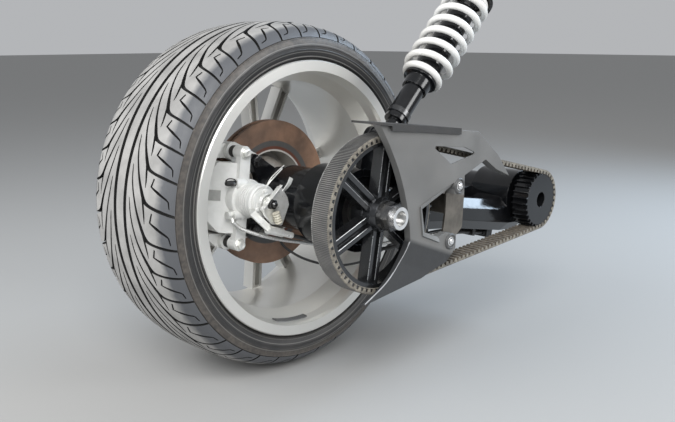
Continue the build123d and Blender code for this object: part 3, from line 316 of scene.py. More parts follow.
recipes = {
    # the material's two tones, and what differs from surface()'s usual values
    "tread_rubber": ((0.33, 0.325, 0.315), (0.235, 0.232, 0.225),
                     dict(rough=0.80, patch=22, grain=700, grain_height=0.0003)),
    # black rubber of the grooves' walls and floors, darker than the sidewall's rubber as painted shade in
    # the grooves
    "groove_rubber": ((0.008, 0.008, 0.008), (0.014, 0.014, 0.013), dict(rough=0.85)),
    "sidewall_rubber": ((0.018, 0.018, 0.019), (0.030, 0.029, 0.029),
                        dict(rough=0.40, patch=9, grain=900, grain_height=0.0002, dust=0.10)),
    "rim_silver": ((0.75, 0.74, 0.705), (0.70, 0.695, 0.665),
                   dict(rough=0.32, rough_spread=0.012, metal=0.68, patch=6, coat=0.2)),
    "disc_rust": ((0.31, 0.185, 0.122), (0.165, 0.105, 0.075), dict(rough=0.6, patch=18, metal=0.25)),
    # bare steel of the hub, made pale as painted light, since the hub lies in shade inside the disc's hat
    "hub_steel": ((0.68, 0.66, 0.62), (0.50, 0.43, 0.36),
                  dict(metal=0.3, patch=35, grain=500, grain_height=0.0002)),
    "bright_steel": ((0.86, 0.86, 0.86), (0.74, 0.74, 0.74),
                     dict(rough=0.24, rough_spread=0.02, metal=0.9, patch=60)),
    "moulded_plastic": ((0.022, 0.022, 0.023), (0.032, 0.031, 0.030),
                        dict(patch=25, grain=1400, grain_height=0.0002, dust=0.08)),
    "gloss_black": ((0.0035, 0.0040, 0.0050), (0.006, 0.0065, 0.008),
                    dict(rough=0.14, rough_spread=0.04, patch=20, grain=160, grain_height=0.00005,
                         dust=0.02, edge=0.002)),
    "pulley_black": ((0.050, 0.052, 0.056), (0.066, 0.068, 0.072),
                     dict(rough=0.20, rough_spread=0.02, metal=0.85, patch=20, coat=0.4, edge=0.002)),
    # bright beads on the pulley's rail edges: painted highlight
    "rail_highlight_paint": ((0.60, 0.61, 0.62), (0.36, 0.37, 0.38), dict(rough=0.3, metal=0.8, patch=60)),
    "black_oxide": ((0.085, 0.088, 0.094), (0.13, 0.127, 0.122),
                    dict(rough=0.26, rough_spread=0.02, metal=0.9, patch=25)),
    "seal_rubber": ((0.010, 0.010, 0.010), (0.02, 0.019, 0.018),
                    dict(rough=0.6, patch=60, grain=800, grain_height=0.0002, dust=0.08)),
    "bush_bronze": ((0.42, 0.30, 0.16), (0.30, 0.20, 0.10), dict(rough=0.4, metal=1.0)),
    "spring_white": ((0.80, 0.80, 0.785), (0.68, 0.67, 0.64),
                     dict(rough=0.3, patch=14, coat=0.4, grain=300, grain_height=0.00006, dust=0.12)),
    "zinc_plate": ((0.88, 0.88, 0.86), (0.74, 0.74, 0.70),
                   dict(rough=0.34, metal=0.55, patch=70, grain=600, grain_height=0.0001,
                        edge=0.0006)),
    "cast_aluminium": ((0.86, 0.86, 0.84), (0.75, 0.75, 0.725),
                       dict(metal=0.2, patch=35, grain=1100, grain_height=0.00035, dust=0.10,
                            edge=0.0012)),
    "cast_mark": ((0.42, 0.42, 0.40), (0.35, 0.35, 0.335),
                  dict(rough=0.6, metal=0.2, patch=80, grain=900, grain_height=0.0003)),
    # the brake pads' lining, and the dark of the drum's grooves as painted shade
    "pad_lining": ((0.10, 0.09, 0.085), (0.06, 0.055, 0.05), dict(rough=0.85, patch=120)),
    "cream_rubber": ((0.62, 0.59, 0.49), (0.50, 0.47, 0.38),
                     dict(rough=0.55, patch=90, grain=700, grain_height=0.0001, dust=0.1)),
    "steel_braid": ((0.84, 0.84, 0.82), (0.42, 0.42, 0.41),
                    dict(rough=0.35, metal=0.7, patch=900, grain=1200, grain_height=0.0006)),
    "cable_sheath": ((0.010, 0.010, 0.011), (0.022, 0.022, 0.022), dict(rough=0.4, patch=80, dust=0.08)),
    "guard_plastic": ((0.130, 0.130, 0.127), (0.160, 0.159, 0.155),
                      dict(patch=12, grain=1700, grain_height=0.00022, dust=0.04, edge=0.0015)),
    # lighter than the guard's plastic: painted highlight along the ledge
    "guard_ledge": ((0.155, 0.155, 0.152), (0.19, 0.19, 0.185), dict()),
    # pale bead on the guard's lower edge: painted highlight
    "guard_edge_highlight": ((0.40, 0.41, 0.42), (0.30, 0.305, 0.31), dict(rough=0.4, patch=60)),
    # darker than the guard's plastic: painted shade round the screws; the balance weight uses it too
    "guard_boss": ((0.075, 0.076, 0.077), (0.095, 0.095, 0.094),
                   dict(rough=0.42, grain=1700, grain_height=0.0002, edge=0.0012)),
    "bronze_grey": ((0.25, 0.225, 0.195), (0.17, 0.155, 0.135), dict(rough=0.4, metal=0.9, patch=40)),
    # a pale strip on the belt's back beside its far edge: painted highlight
    "belt_highlight_strip": ((0.42, 0.42, 0.41), (0.12, 0.12, 0.115), dict(rough=0.6, patch=110)),
    # the valleys between the back's ribs, dark as painted shade
    "belt_valley_shade": ((0.020, 0.020, 0.020), (0.035, 0.034, 0.033), dict(rough=0.8)),
    "belt_back": ((0.085, 0.085, 0.085), (0.135, 0.132, 0.127),
                  dict(rough=0.6, grain=900, grain_height=0.0002, dust=0.12)),
    "plain_steel": ((0.46, 0.46, 0.45), (0.34, 0.335, 0.32),
                    dict(rough=0.34, rough_spread=0.02, metal=0.9, patch=60)),
    "belt_edge": ((0.25, 0.23, 0.19), (0.11, 0.10, 0.086),
                  dict(rough=0.85, patch=160, grain=700, grain_height=0.0004)),
    "belt_teeth": ((0.17, 0.145, 0.115), (0.09, 0.078, 0.064), dict(rough=0.8, patch=120)),
}
extras = {"disc_rust": rust_disc, "tread_rubber": wear_tread, "sidewall_rubber": dust_sidewall,
          "guard_plastic": shade_guard}

node_finishes = {
    "sidewall_rubber": ("tyre",),
    "rim_silver": ("rim",),
    "hub_steel": ("wheel_hub",),
    "bright_steel": ("lug_nuts", "lock_ring", "shock_rod"),
    "moulded_plastic": ("centre_cap", "cable_clips", "cord_connectors", "guard_cap"),
    "disc_rust": ("brake_disc",),
    "plain_steel": ("axle_shaft",),
    "pulley_black": ("driven_pulley",),
    "black_oxide": ("axle_collar", "axle_nut", "shock_collar", "bleed_nipple", "guard_bolts"),
    "gloss_black": ("drive_pulley", "bearing_carrier", "swing_arm", "shock_damper", "shock_lower_seat",
                    "shock_upper_mount"),
    "belt_back": ("drive_belt",),
    "seal_rubber": ("axle_bearings", "slide_boots"),
    "bush_bronze": ("pivot_bushes",),
    "spring_white": ("shock_spring",),
    "zinc_plate": ("shock_bolt", "slide_pins", "park_lever", "park_spring", "cable_stop", "hose_banjo"),
    "cast_aluminium": ("caliper_bracket", "brake_caliper"),
    "pad_lining": ("brake_pads",),
    "steel_braid": ("brake_hose",),
    "cable_sheath": ("park_cable", "sensor_wire"),
    "guard_plastic": ("belt_guard",),
    "bronze_grey": ("guard_bracket",),
}


def make_materials():
    looks = {name: surface(name, base, second, **rest) for name, (base, second, rest) in recipes.items()}
    for name, add_extra in extras.items():
        add_extra(looks[name])
    return {name: look.material for name, look in looks.items()}


def finish_nodes():
    for name, nodes in node_finishes.items():
        for node in nodes:
            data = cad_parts[node].data
            data.materials.clear()
            data.materials.append(materials[name])


# Mesh helpers
def make_piece(name, points, faces, body, finishes, chosen, sharp=30):
    """A piece from points and faces; chosen is the number of each face's material among finishes."""
    data = bpy.data.meshes.new(name)
    data.from_pydata(points, [], faces)
    data.validate()
    piece = add_finished(name, data, finishes, chosen, sharp)
    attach(piece, body)
    return piece


def add_finished(name, data, finishes, chosen, sharp):
    """An object with its materials, smooth but for edges sharper than an angle in degrees."""
    for finish in finishes:
        data.materials.append(materials[finish])
    for polygon, index in zip(data.polygons, chosen):
        polygon.material_index = index
        polygon.use_smooth = True
    data.set_sharp_from_angle(angle=radians(sharp))
    return add_object(name, data)


def smooth(values, steps):
    """A Catmull-Rom curve through numbers or vectors; two of them stay as they are."""
    if len(values) < 3:
        return values
    line = []
    padded = [values[0], *values, values[-1]]
    for a, b, c, d in zip(padded, padded[1:], padded[2:], padded[3:]):
        for step in range(steps):
            t = step / steps
            line.append(0.5 * (2 * b + (c - a) * t + (2 * a - 5 * b + 4 * c - d) * t * t
                               + (3 * b - a - 3 * c + d) * t ** 3))
    line.append(values[-1])
    return line


def neighbours(line):
    """Each point of a line between the one before and the one after; an end is its own neighbour."""
    return zip([line[0], *line], line, [*line[1:], line[-1]])


def about_axle(radius, turn, y):
    return (axle_x + radius * cos(turn), y, axle_z + radius * sin(turn))


def lathe(name, rows, segments, body, finishes, closed=True, row_finishes=None):
    """Rows are (radius, y) about the axle."""
    points = []
    for radius, y in rows:
        points += [about_axle(radius, 2 * pi * step / segments, y) for step in range(segments)]
    faces = []
    chosen = []
    count = len(rows)
    for row in range(count if closed else count - 1):
        after = (row + 1) % count
        for step in range(segments):
            ahead = (step + 1) % segments
            faces.append((row * segments + step, row * segments + ahead,
                          after * segments + ahead, after * segments + step))
            chosen.append(row_finishes[row] if row_finishes else 0)
    return make_piece(name, points, faces, body, finishes, chosen)


# Tyre
crown_points = (
    # radius below the tread's top, distance from the middle plane
    (0.0, 0.0), (0.0, 0.030), (0.0022, 0.060), (0.0065, 0.086), (0.0125, 0.104), (0.021, 0.1165),
    (0.034, 0.1255), (0.050, 0.1288), (0.0630, 0.1262),
)
groove_depth = 0.0072
outer_depth = 0.0016
rib_half = 0.0113
rib_groove = 0.0093
rib_segments = 220
crown_steps = 8
carcass_segments = 240
tread_inner = rib_half + rib_groove
tread_outer = 0.1325
groove_start = 0.0285
fade_start = 0.114
worn_edge = 0.099
nominal_pitch = 0.058
first_pitch = radians(129.2)
pitch_order = "SSSSMLMSMLSSMSLMSSMLMSSLMSMSSMLSMSSMLS"
pitch_sizes = {"S": 8.75, "M": 9.8, "L": 11.3}
groove_path = (
    # distance across the tread, pitches round the tyre, width
    (0.0206, -2.60, 0.0), (0.0285, -2.12, 0.0), (0.0305, -1.97, 0.0030), (0.0360, -1.52, 0.0038),
    (0.0475, -0.92, 0.0047), (0.0590, -0.45, 0.0066), (0.0650, -0.24, 0.0086), (0.0705, -0.09, 0.0086),
    (0.0770, 0.01, 0.0064), (0.0860, 0.075, 0.0054), (0.1100, 0.18, 0.0052), (0.1325, 0.29, 0.0044),
)
spur_path = (
    # distance across the tread, share of a pitch below the long groove, width
    (0.0650, 0.03, 0.0082), (0.0685, 0.22, 0.0064), (0.0708, 0.42, 0.0042), (0.0712, 0.62, 0.0012),
)
sipe_path = (
    (0.0895, 0.14, 0.0028), (0.0850, 0.41, 0.0046), (0.1000, 0.49, 0.0054), (0.1170, 0.59, 0.0036),
    (0.1205, 0.64, 0.0026), (0.1225, 0.84, 0.0018),
)
# The flat cell of one pitch, which the triangulation gets in units of a millimetre
cell_rows = 28
cell_columns = 6
groove_steps = 44
cell_unit = 1000
same_place = 1e-6
ring_steps = (
    # distance along the outside of the sidewall, height of the raised ring there
    (0.1338, -0.0010), (0.1342, 0.0003), (0.1358, 0.0003), (0.1362, -0.0002), (0.1420, 0.0),
    (0.1500, 0.0), (0.1508, -0.0006), (0.1560, -0.0006), (0.1568, 0.0), (0.1640, 0.0),
)
bead_rows = (
    # radius, distance from the middle plane, down the bead's ring and back up inside
    (0.2790, 0.1248), (0.2782, 0.1262), (0.2768, 0.1262), (0.2758, 0.1240), (0.2738, 0.1190),
    (0.2554, 0.1132), (0.2543, 0.0950), (0.2658, 0.0950), (0.2930, 0.1170), (0.3130, 0.1110),
    (0.3282, 0.0901), (0.3330, 0.0403),
)


class Crown:
    """The tyre's outside from the middle of the tread to the sidewall, by distance along it."""

    def __init__(self):
        drops, sides = (smooth(column, crown_steps) for column in zip(*crown_points))
        self.line = [(max(drop, 0.0), y) for drop, y in zip(drops, sides)]
        self.reach = [0.0]
        for a, b in zip(self.line, self.line[1:]):
            self.reach.append(self.reach[-1] + sqrt((b[0] - a[0]) ** 2 + (b[1] - a[1]) ** 2))

    def at(self, along, depth=0.0):
        """Radius and y at this distance along, this far under the surface."""
        along = min(along, self.reach[-1] - same_place)
        index = max(i for i, reach in enumerate(self.reach[:-1]) if reach <= along)
        a = self.line[index]
        b = self.line[index + 1]
        share = (along - self.reach[index]) / (self.reach[index + 1] - self.reach[index])
        drop = a[0] + share * (b[0] - a[0])
        y = a[1] + share * (b[1] - a[1])
        size = sqrt((b[0] - a[0]) ** 2 + (b[1] - a[1]) ** 2)
        normal = ((b[1] - a[1]) / size, (b[0] - a[0]) / size)
        return tyre_radius - drop - depth * normal[0], y - depth * normal[1]


crown = Crown()


def pitch_starts():
    """The angle at which each pitch of the tread starts; the pitches have three lengths."""
    sizes = [pitch_sizes[letter] for letter in pitch_order]
    starts = [first_pitch]
    for size in sizes:
        starts.append(starts[-1] + 2 * pi * size / sum(sizes))
    return starts


starts = pitch_starts()


def turn_at(place):
    """The angle round the tyre of a place counted in pitches."""
    whole, number = divmod(math.floor(place), len(pitch_order))
    share = place - math.floor(place)
    return starts[number] + share * (starts[number + 1] - starts[number]) + 2 * pi * whole


def curve_through(rows, value):
    """A table's other columns at this value of its first, on a smooth curve through the rows."""
    index = max(i for i, row in enumerate(rows[:-1]) if row[0] <= value or i == 0)
    a = rows[index]
    b = rows[index + 1]
    before = rows[max(index - 1, 0)]
    after = rows[min(index + 2, len(rows) - 1)]
    gap = b[0] - a[0]
    t = min(max((value - a[0]) / gap, 0), 1)
    found = []
    for column in range(1, len(a)):
        slope_in = gap * (b[column] - before[column]) / (b[0] - before[0])
        slope_out = gap * (after[column] - a[column]) / (after[0] - a[0])
        found.append((2 * t ** 3 - 3 * t ** 2 + 1) * a[column] + (t ** 3 - 2 * t ** 2 + t) * slope_in
                     + (3 * t ** 2 - 2 * t ** 3) * b[column] + (t ** 3 - t ** 2) * slope_out)
    return found


def groove_half(along):
    """Half the long groove's width round the tyre, as a share of a pitch."""
    step = 0.0005
    sweep, width = curve_through(groove_path, along)
    lean = (curve_through(groove_path, along + step)[0] - sweep) * nominal_pitch / step
    return max(0.0, width) / 2 * sqrt(1 + lean ** 2) / nominal_pitch


def ribbon(path):
    """The outline of a groove that follows a path of (across, share of a pitch, width)."""
    flat = [(along, share * nominal_pitch, width) for along, share, width in path]
    left = []
    right = []
    for before, (along, around, width), after in neighbours(flat):
        run = (after[0] - before[0], after[1] - before[1])
        size = sqrt(run[0] ** 2 + run[1] ** 2)
        aside = (run[1] / size * width / 2, -run[0] / size * width / 2)
        left.append((along + aside[0], (around + aside[1]) / nominal_pitch))
        right.append((along - aside[0], (around - aside[1]) / nominal_pitch))
    return left + right[::-1]


def anticlockwise(outline):
    """The outline without repeated corners, in the direction that the triangulation asks for."""
    pairs = zip(outline, outline[1:] + outline[:1])
    corners = [a for a, b in pairs if abs(a[0] - b[0]) + abs(a[1] - b[1]) > same_place]
    area = sum(a[0] * b[1] - b[0] * a[1] for a, b in zip(corners, corners[1:] + corners[:1]))
    return corners if area > 0 else corners[::-1]


def tread_cell():
    """One pitch of half the tread, flat: its corners, the triangles of the lands, and the grooves' edges."""
    wide = cell_columns + 1
    tread_width = tread_outer - tread_inner
    spots = []
    for row in range(cell_rows + 1):
        along = tread_inner + tread_width * row / cell_rows
        spots += [(along, column / cell_columns) for column in range(wide)]
    edges = []
    for row in range(cell_rows):
        edges += [(row * wide + column, (row + 1) * wide + column) for column in range(wide)]
    for row in range(cell_rows + 1):
        edges += [(row * wide + column, row * wide + column + 1) for column in range(cell_columns)]
    faces = [[0, cell_rows * wide, cell_rows * wide + cell_columns, cell_columns]]
    groove_width = tread_outer - groove_start
    along_steps = [groove_start + groove_width * step / groove_steps for step in range(groove_steps + 1)]
    edge = [(along, groove_half(along)) for along in along_steps]
    outlines = [
        edge + [(along, 0.0) for along, share in reversed(edge)],
        [(along, 1 - share) for along, share in edge] + [(along, 1.0) for along, share in reversed(edge)],
        ribbon(spur_path),
        ribbon(sipe_path),
    ]
    for outline in outlines:
        corners = anticlockwise(outline)
        faces.append(list(range(len(spots), len(spots) + len(corners))))
        spots += corners
    flat = [(along * cell_unit, share * nominal_pitch * cell_unit) for along, share in spots]
    places, _, triangles, _, _, sources = delaunay_2d_cdt(flat, edges, faces, 1, 1e-4)
    corners = [(place.x / cell_unit, place.y / cell_unit / nominal_pitch) for place in places]
    lands = [face for face, source in zip(triangles, sources) if source == [0]]
    return corners, lands, wall_edges(corners, lands)


def wall_edges(corners, lands):
    """The lands' edges that have no neighbour, apart from those where the next pitch goes on."""
    turned = {(face[i], face[i - 1]) for face in lands for i in range(3)}
    walls = []
    for face in lands:
        for i in range(3):
            a = face[i - 1]
            b = face[i]
            shared = all(min(corners[index][1], 1 - corners[index][1]) < same_place for index in (a, b))
            if (a, b) not in turned and not shared:
                walls.append((a, b))
    return walls


def groove_floor(along):
    """The depth of the grooves, which grow shallow on the shoulder."""
    if along < fade_start:
        return groove_depth
    share = min(1, (along - fade_start) / (tread_outer - fade_start))
    return groove_depth + (outer_depth - groove_depth) * share


def make_tread():
    """The tread's lands on both sides of the middle rib, pitch by pitch, with the grooves' walls."""
    corners, lands, walls = tread_cell()
    points = []
    known = {}
    faces = []
    chosen = []

    def corner(index, side, pitch, sunk):
        along, share = corners[index]
        sweep = curve_through(groove_path, along)[0]
        radius, y = crown.at(along, groove_floor(along) if sunk else 0.0)
        place = about_axle(radius, turn_at(pitch + sweep + share), side * y)
        key = tuple(round(number, 6) for number in place)
        if key not in known:
            known[key] = len(points)
            points.append(place)
        return known[key]

    for side, lead in ((-1, 0.0), (1, 0.5)):
        for pitch in range(len(pitch_order)):
            for land in lands:
                face = tuple(corner(index, side, pitch + lead, False) for index in land)
                faces.append(face if side > 0 else face[::-1])
                chosen.append(0)
            for a, b in walls:
                face = (corner(b, side, pitch + lead, False), corner(a, side, pitch + lead, False),
                        corner(a, side, pitch + lead, True), corner(b, side, pitch + lead, True))
                faces.append(face if side > 0 else face[::-1])
                chosen.append(1)
    make_piece("tyre_tread", points, faces, "wheel",
               ["tread_rubber", "groove_rubber"], chosen, sharp=40)


def make_rib():
    rows = [crown.at(rib_half, groove_depth), crown.at(rib_half), crown.at(rib_half / 2), (tyre_radius, 0.0)]
    rows = [(r, -y) for r, y in rows] + [(r, y) for r, y in reversed(rows[:-1])]
    lathe("tyre_rib", rows, rib_segments, "wheel", ["tread_rubber", "groove_rubber"],
          closed=False, row_finishes=[1, 0, 0, 0, 0, 1])


def make_carcass():
    """The groove floors, the sidewalls with their raised rings, the beads and the inside."""
    steps = 24
    rows = []
    for step in range(steps + 1):
        along = tread_outer * step / steps
        rows.append(crown.at(along, groove_floor(along)))
    rows += [crown.at(along, -rise) for along, rise in ring_steps]
    rows += bead_rows
    rows += [(r, -y) for r, y in reversed(rows[1:])]
    floors = [1 if row < steps or row >= len(rows) - steps else 0 for row in range(len(rows))]
    carcass = lathe("tyre_carcass", rows, carcass_segments, "wheel",
                    ["sidewall_rubber", "groove_rubber"], row_finishes=floors)
    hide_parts("tyre")


# Toothed belt
belt_pitch = 0.014
belt_teeth = 128
driven_teeth = 64
drive_teeth = 30
belt_back = 0.0028
belt_land = 0.0014
belt_tooth = 0.0060
tooth_base = 0.0094
tooth_tip = 0.0062
rib_pitch = belt_pitch / 4
rib_rise = 0.0009
rib_profile = ((0.10, 0.0), (0.20, rib_rise), (0.65, rib_rise), (0.75, 0.0))
edge_bevel = 0.0012


class BeltLine:
    """The belt's pitch line round the two pulleys, from the top of the driven pulley."""

    def __init__(self):
        self.driven = driven_teeth * belt_pitch / (2 * pi)
        self.drive = drive_teeth * belt_pitch / (2 * pi)
        span = sqrt(axle_x ** 2 + axle_z ** 2)
        heading = atan2(-axle_z, -axle_x)
        contact = acos((self.driven - self.drive) / span)
        self.upper = heading + contact
        self.lower = heading - contact
        self.run = span * sin(contact)
        self.drive_wrap = self.drive * 2 * contact

    def at(self, distance):
        """A point as (x, z) and the outward direction's angle."""
        if distance < self.run:
            x, z = self.on_driven(self.upper)
            return x + distance * sin(self.upper), z - distance * cos(self.upper), self.upper
        distance -= self.run
        if distance < self.drive_wrap:
            turn = self.upper - distance / self.drive
            return self.drive * cos(turn), self.drive * sin(turn), turn
        distance -= self.drive_wrap
        if distance < self.run:
            x = self.drive * cos(self.lower)
            z = self.drive * sin(self.lower)
            return x + distance * sin(self.lower), z - distance * cos(self.lower), self.lower
        turn = self.lower - (distance - self.run) / self.driven
        return (*self.on_driven(turn), turn)

    def on_driven(self, turn):
        return axle_x + self.driven * cos(turn), axle_z + self.driven * sin(turn)


def tooth_depth(distance):
    """How far the inside lies under the pitch line at this distance along the belt."""
    off = abs((distance / belt_pitch - 0.5) % 1)
    off = min(off, 1 - off) * belt_pitch
    if off >= tooth_base / 2:
        return belt_land
    if off <= tooth_tip / 2:
        return belt_land + belt_tooth
    share = (tooth_base / 2 - off) / ((tooth_base - tooth_tip) / 2)
    return belt_land + belt_tooth * share


def make_belt():
    line = BeltLine()
    marks = set()
    for tooth in range(belt_teeth):
        for off in (-tooth_base / 2, -tooth_tip / 2, tooth_tip / 2, tooth_base / 2):
            marks.add(round((tooth + 0.5) * belt_pitch + off, 7))
    heights = {}
    for rib in range(int(round(belt_teeth * belt_pitch / rib_pitch))):
        for share, height in rib_profile:
            mark = round((rib + share) * rib_pitch, 7)
            heights[mark] = height
            marks.add(mark)
    marks = sorted(marks)
    rib_marks = sorted(heights)
    rises = [heights[rib_marks[bisect(rib_marks, mark) - 1]] for mark in marks]
    near = belt_low.y
    far = belt_high.y
    points = []
    for mark, rise in zip(marks, rises):
        x, z, turn = line.at(mark)
        out = belt_back - rib_rise + rise
        corners = (
            # height over the pitch line, y
            (out - edge_bevel, near), (out, near + edge_bevel), (out, far - 2 * edge_bevel),
            (out, far - edge_bevel), (out - edge_bevel, far), (-tooth_depth(mark), far),
            (-tooth_depth(mark), near))
        for height, y in corners:
            points.append((x + height * cos(turn), y, z + height * sin(turn)))
    # The belt's materials, and which of them each side of its section has
    sides = ("belt_back", "belt_edge", "belt_teeth", "belt_valley_shade", "belt_highlight_strip")
    # the strip beside the back's far edge is pale as painted highlight
    parts = (1, 0, 4, 1, 1, 2, 1)
    back = parts.index(sides.index("belt_back"))
    # the valleys between the back's ribs get painted shade
    valley = sides.index("belt_valley_shade")
    wide = len(parts)
    faces = []
    chosen = []
    for row in range(len(marks)):
        after = (row + 1) % len(marks)
        for corner in range(wide):
            follow = (corner + 1) % wide
            faces.append((row * wide + corner, after * wide + corner,
                          after * wide + follow, row * wide + follow))
            chosen.append(valley if corner == back and rises[row] == 0 else parts[corner])
    belt = make_piece("belt_with_ribs", points, faces, "swing_arm", sides, chosen)
    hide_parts("drive_belt")


# Small pieces
belt_side = Vector((0, -1, 0))
tube_steps = 5
tube_segments = 8
strap_steps = 4
strap_half = ((0.85, 1.0), (1.0, 0.3), (1.0, -0.3), (0.85, -1.0))
shape_sharp = 35


class Shape:
    """Gathers turned, tubular and flat forms into one piece."""

    def __init__(self):
        self.points = []
        self.faces = []
        self.chosen = []

    def turned(self, rows, start, aim, segments=24, material=0):
        """Rows are (radius, distance along the line from start to aim); a radius of 0 closes an end."""
        axis = (Vector(aim) - Vector(start)).normalized()
        across = axis.orthogonal().normalized()
        beside = axis.cross(across)
        rings = []
        for radius, along in rows:
            middle = Vector(start) + axis * along
            if radius > 0:
                rings.append(self.ring(middle, radius, across, beside, segments))
            else:
                rings.append([self.add(middle)] * segments)
        self.join(rings, material)

    def outward(self, rows, start, segments=24, material=0):
        """Rows turned about a line that goes from start straight out on the belt's side."""
        self.turned(rows, start, Vector(start) + belt_side, segments, material)

    def tube(self, path, radius, material=0):
        """A round wire along the points of a path, which is smoothed."""
        line = smooth([Vector(point) for point in path], tube_steps)
        across = (line[1] - line[0]).orthogonal().normalized()
        rings = []
        for before, point, after in neighbours(line):
            heading = (after - before).normalized()
            across = (across - heading * across.dot(heading)).normalized()
            rings.append(self.ring(point, radius, across, heading.cross(across), tube_segments))
        self.capped(rings, (line[0], line[-1]), material)

    def strap(self, path, aside, width, thickness):
        """A flat strip along a path; aside is the direction of its width."""
        line = smooth([Vector(point) for point in path], strap_steps)
        broad = Vector(aside).normalized()
        rings = []
        for before, point, after in neighbours(line):
            heading = (after - before).normalized()
            wide = (broad - heading * broad.dot(heading)).normalized() * width / 2
            thick = heading.cross(wide).normalized() * thickness / 2
            half = [wide * share + thick * rise for share, rise in strap_half]
            rings.append([self.add(point + corner * side) for side in (1, -1) for corner in half])
        self.capped(rings, (line[0], line[-1]))

    def slab(self, outline, lift, thickness, bevel):
        """A plate with bevelled edges: the outline's points, moved along lift by its thickness."""
        up = Vector(lift).normalized()
        corners = [Vector(point) for point in outline]
        middle = sum(corners, Vector((0, 0, 0))) / len(corners)
        inset = [point + (middle - point).normalized() * bevel for point in corners]
        levels = ((inset, 0), (corners, bevel), (corners, thickness - bevel), (inset, thickness))
        rings = [[self.add(point + up * height) for point in points] for points, height in levels]
        self.capped(rings, (middle, middle + up * thickness))

    def sections(self, rings, material=0):
        """A bar through rings of points, closed at both ends."""
        added = [[self.add(point) for point in ring] for ring in rings]
        self.capped(added, (rings[0][0], rings[-1][0]), material)

    def ring(self, middle, radius, across, beside, segments):
        turns = [2 * pi * step / segments for step in range(segments)]
        return [self.add(middle + radius * (cos(t) * across + sin(t) * beside)) for t in turns]

    def add(self, point):
        self.points.append(tuple(point))
        return len(self.points) - 1

    def capped(self, rings, ends, material=0):
        """Join the rings, and draw both ends in to a point."""
        first, last = ([self.add(end)] * len(rings[0]) for end in ends)
        self.join([first, *rings, last], material)

    def join(self, rings, material):
        for low, high in zip(rings, rings[1:]):
            for a, b, c, d in zip(low, low[1:] + low[:1], high[1:] + high[:1], high):
                corners = list(dict.fromkeys((a, b, c, d)))
                if len(corners) > 2:
                    self.faces.append(tuple(corners))
                    self.chosen.append(material)

    def piece(self, name, body, slot, *finishes):
        made = make_piece(name, self.points, self.faces, body, finishes, self.chosen, shape_sharp)
        mesh = bmesh.new()
        mesh.from_mesh(made.data)
        bmesh.ops.recalc_face_normals(mesh, faces=mesh.faces)
        mesh.to_mesh(made.data)
        mesh.free()
        return made


# Brake details, placed by (outward, around, Y) in millimetres in the caliper's own frame
caliper_turn = radians(173.5)
carrier_bolts = ((73.0, 67.0), (73.0, -67.0))
carrier_face = -46.0
pins = ((132.2, -87.5), (132.2, 87.5))
pin_cap_face = -83.9
pin_collar_face = -77.0
drum_out = 119.0
drum_front = -118.0
drum_grooves = (-90.6, -96.6, -102.6, -108.6)
drum_screw_turns = (0.6, 2.7, 4.8)
drum_screw_out = 22.0
lever_face = -142.0
lever_washer_lift = 0.3
lever_edge_lift = 2.5
lever_folds = (
    # points (outward, around) of the plate's bent-up edge, then of its tip
    ((98, -34.5), (120, -11.5), (138.5, 8.5)),
    ((138.5, 8.5), (133, 20), (122, 31)),
)
# The width and thickness of a strap
lever_fold_size = (0.0065, 0.0024)
tab_size = (0.0085, 0.0018)
coil_radius = 17.6
coil_start = 9.0
coil_pitch = 3.0
coil_steps = 16
coil_turns = 3
coil_wire = 0.0011
leg_wire = 0.0012
spring_legs = (
    ((120, -18, -121), (116.5, -36, -130), (86.1, -63.8, -131)),
    ((124, -16, -124), (110.0, -46, -128), (80.5, -69.5, -129)),
)
spring_tab = ((93, -19, -137), (87.3, -24.8, -141), (77, -36, -142), (69.1, -47, -139))
boot_ends = ((112.8, 14.2, -150), (100.7, 38.2, -150))
boot_folds = 5
boot_fold = 0.005
boot_length = 0.0262
bleed_tip = (170, -30, -74)
bleed_strap = (bleed_tip, (172, -35, -74), (166, -39, -76), (156, -38, -78), (151, -33, -79))
bleed_strap_wire = 0.0011
# The pad's corners, and the sloped face it lies on: where it starts, how far it runs out and back
pad_corners = ((183, 6), (164, 6), (164, -14), (183, -14))
pad_start = (130, -76.5)
pad_slope = (53, 40)
pad_thickness = 0.0009
pad_bevel = 0.0003

# Six-sided heads: across the flats, height, base
carrier_head = (0.016, 0.0085, 0.0022)
lever_nut_head = (0.0180, 0.0102, 0.0)
drum_screw_head = (0.007, 0.0032, 0.0078)

# Turned profiles: radius, distance out
carrier_washer = ((0.0, 0.0), (0.0115, 0.0), (0.0115, 0.0016), (0.0105, 0.0022), (0.008, 0.0022))
pin_cap = ((0.0078, 0.0), (0.0078, 0.0012), (0.0066, 0.0022), (0.0045, 0.0024), (0.0040, 0.0010),
           (0.0, 0.0010))
pin_collar = ((0.0118, -0.001), (0.0118, 0.0012), (0.0106, 0.0024), (0.008, 0.0026))
lever_washer = ((0.0, 0.0), (0.0125, 0.0), (0.0125, 0.0014), (0.0115, 0.002), (0.0, 0.002))
stud_radius = 0.0046
lever_stud = ((stud_radius, 0.0102), (stud_radius, 0.0144), (0.8 * stud_radius, 0.0154), (0.0, 0.0154))
stud_thread = ((stud_radius, 0.0), (0.0051, 0.0005), (stud_radius, 0.0010))
stud_thread_lifts = (0.0110, 0.0120, 0.0130, 0.0140)
drum_lip = ((0.0316, -0.001), (0.0316, 0.0012), (0.0305, 0.0022), (0.0285, 0.0022), (0.0275, 0.0010),
            (0.0262, 0.0008))
drum_rib = ((0.0322, -0.0010), (0.0332, 0.0), (0.0332, 0.0010), (0.0310, 0.0014))
drum_groove = ((0.0313, 0.0), (0.0313, 0.0024))
boot_neck = ((0.0, 0.0), (0.0042, 0.0))
boot_ridge = ((0.0076, 0.0016), (0.0058, 0.0042))
bleed_cap = ((0.0052, -0.014), (0.0056, -0.012), (0.0052, -0.002), (0.0040, 0.0014), (0.0, 0.0016))


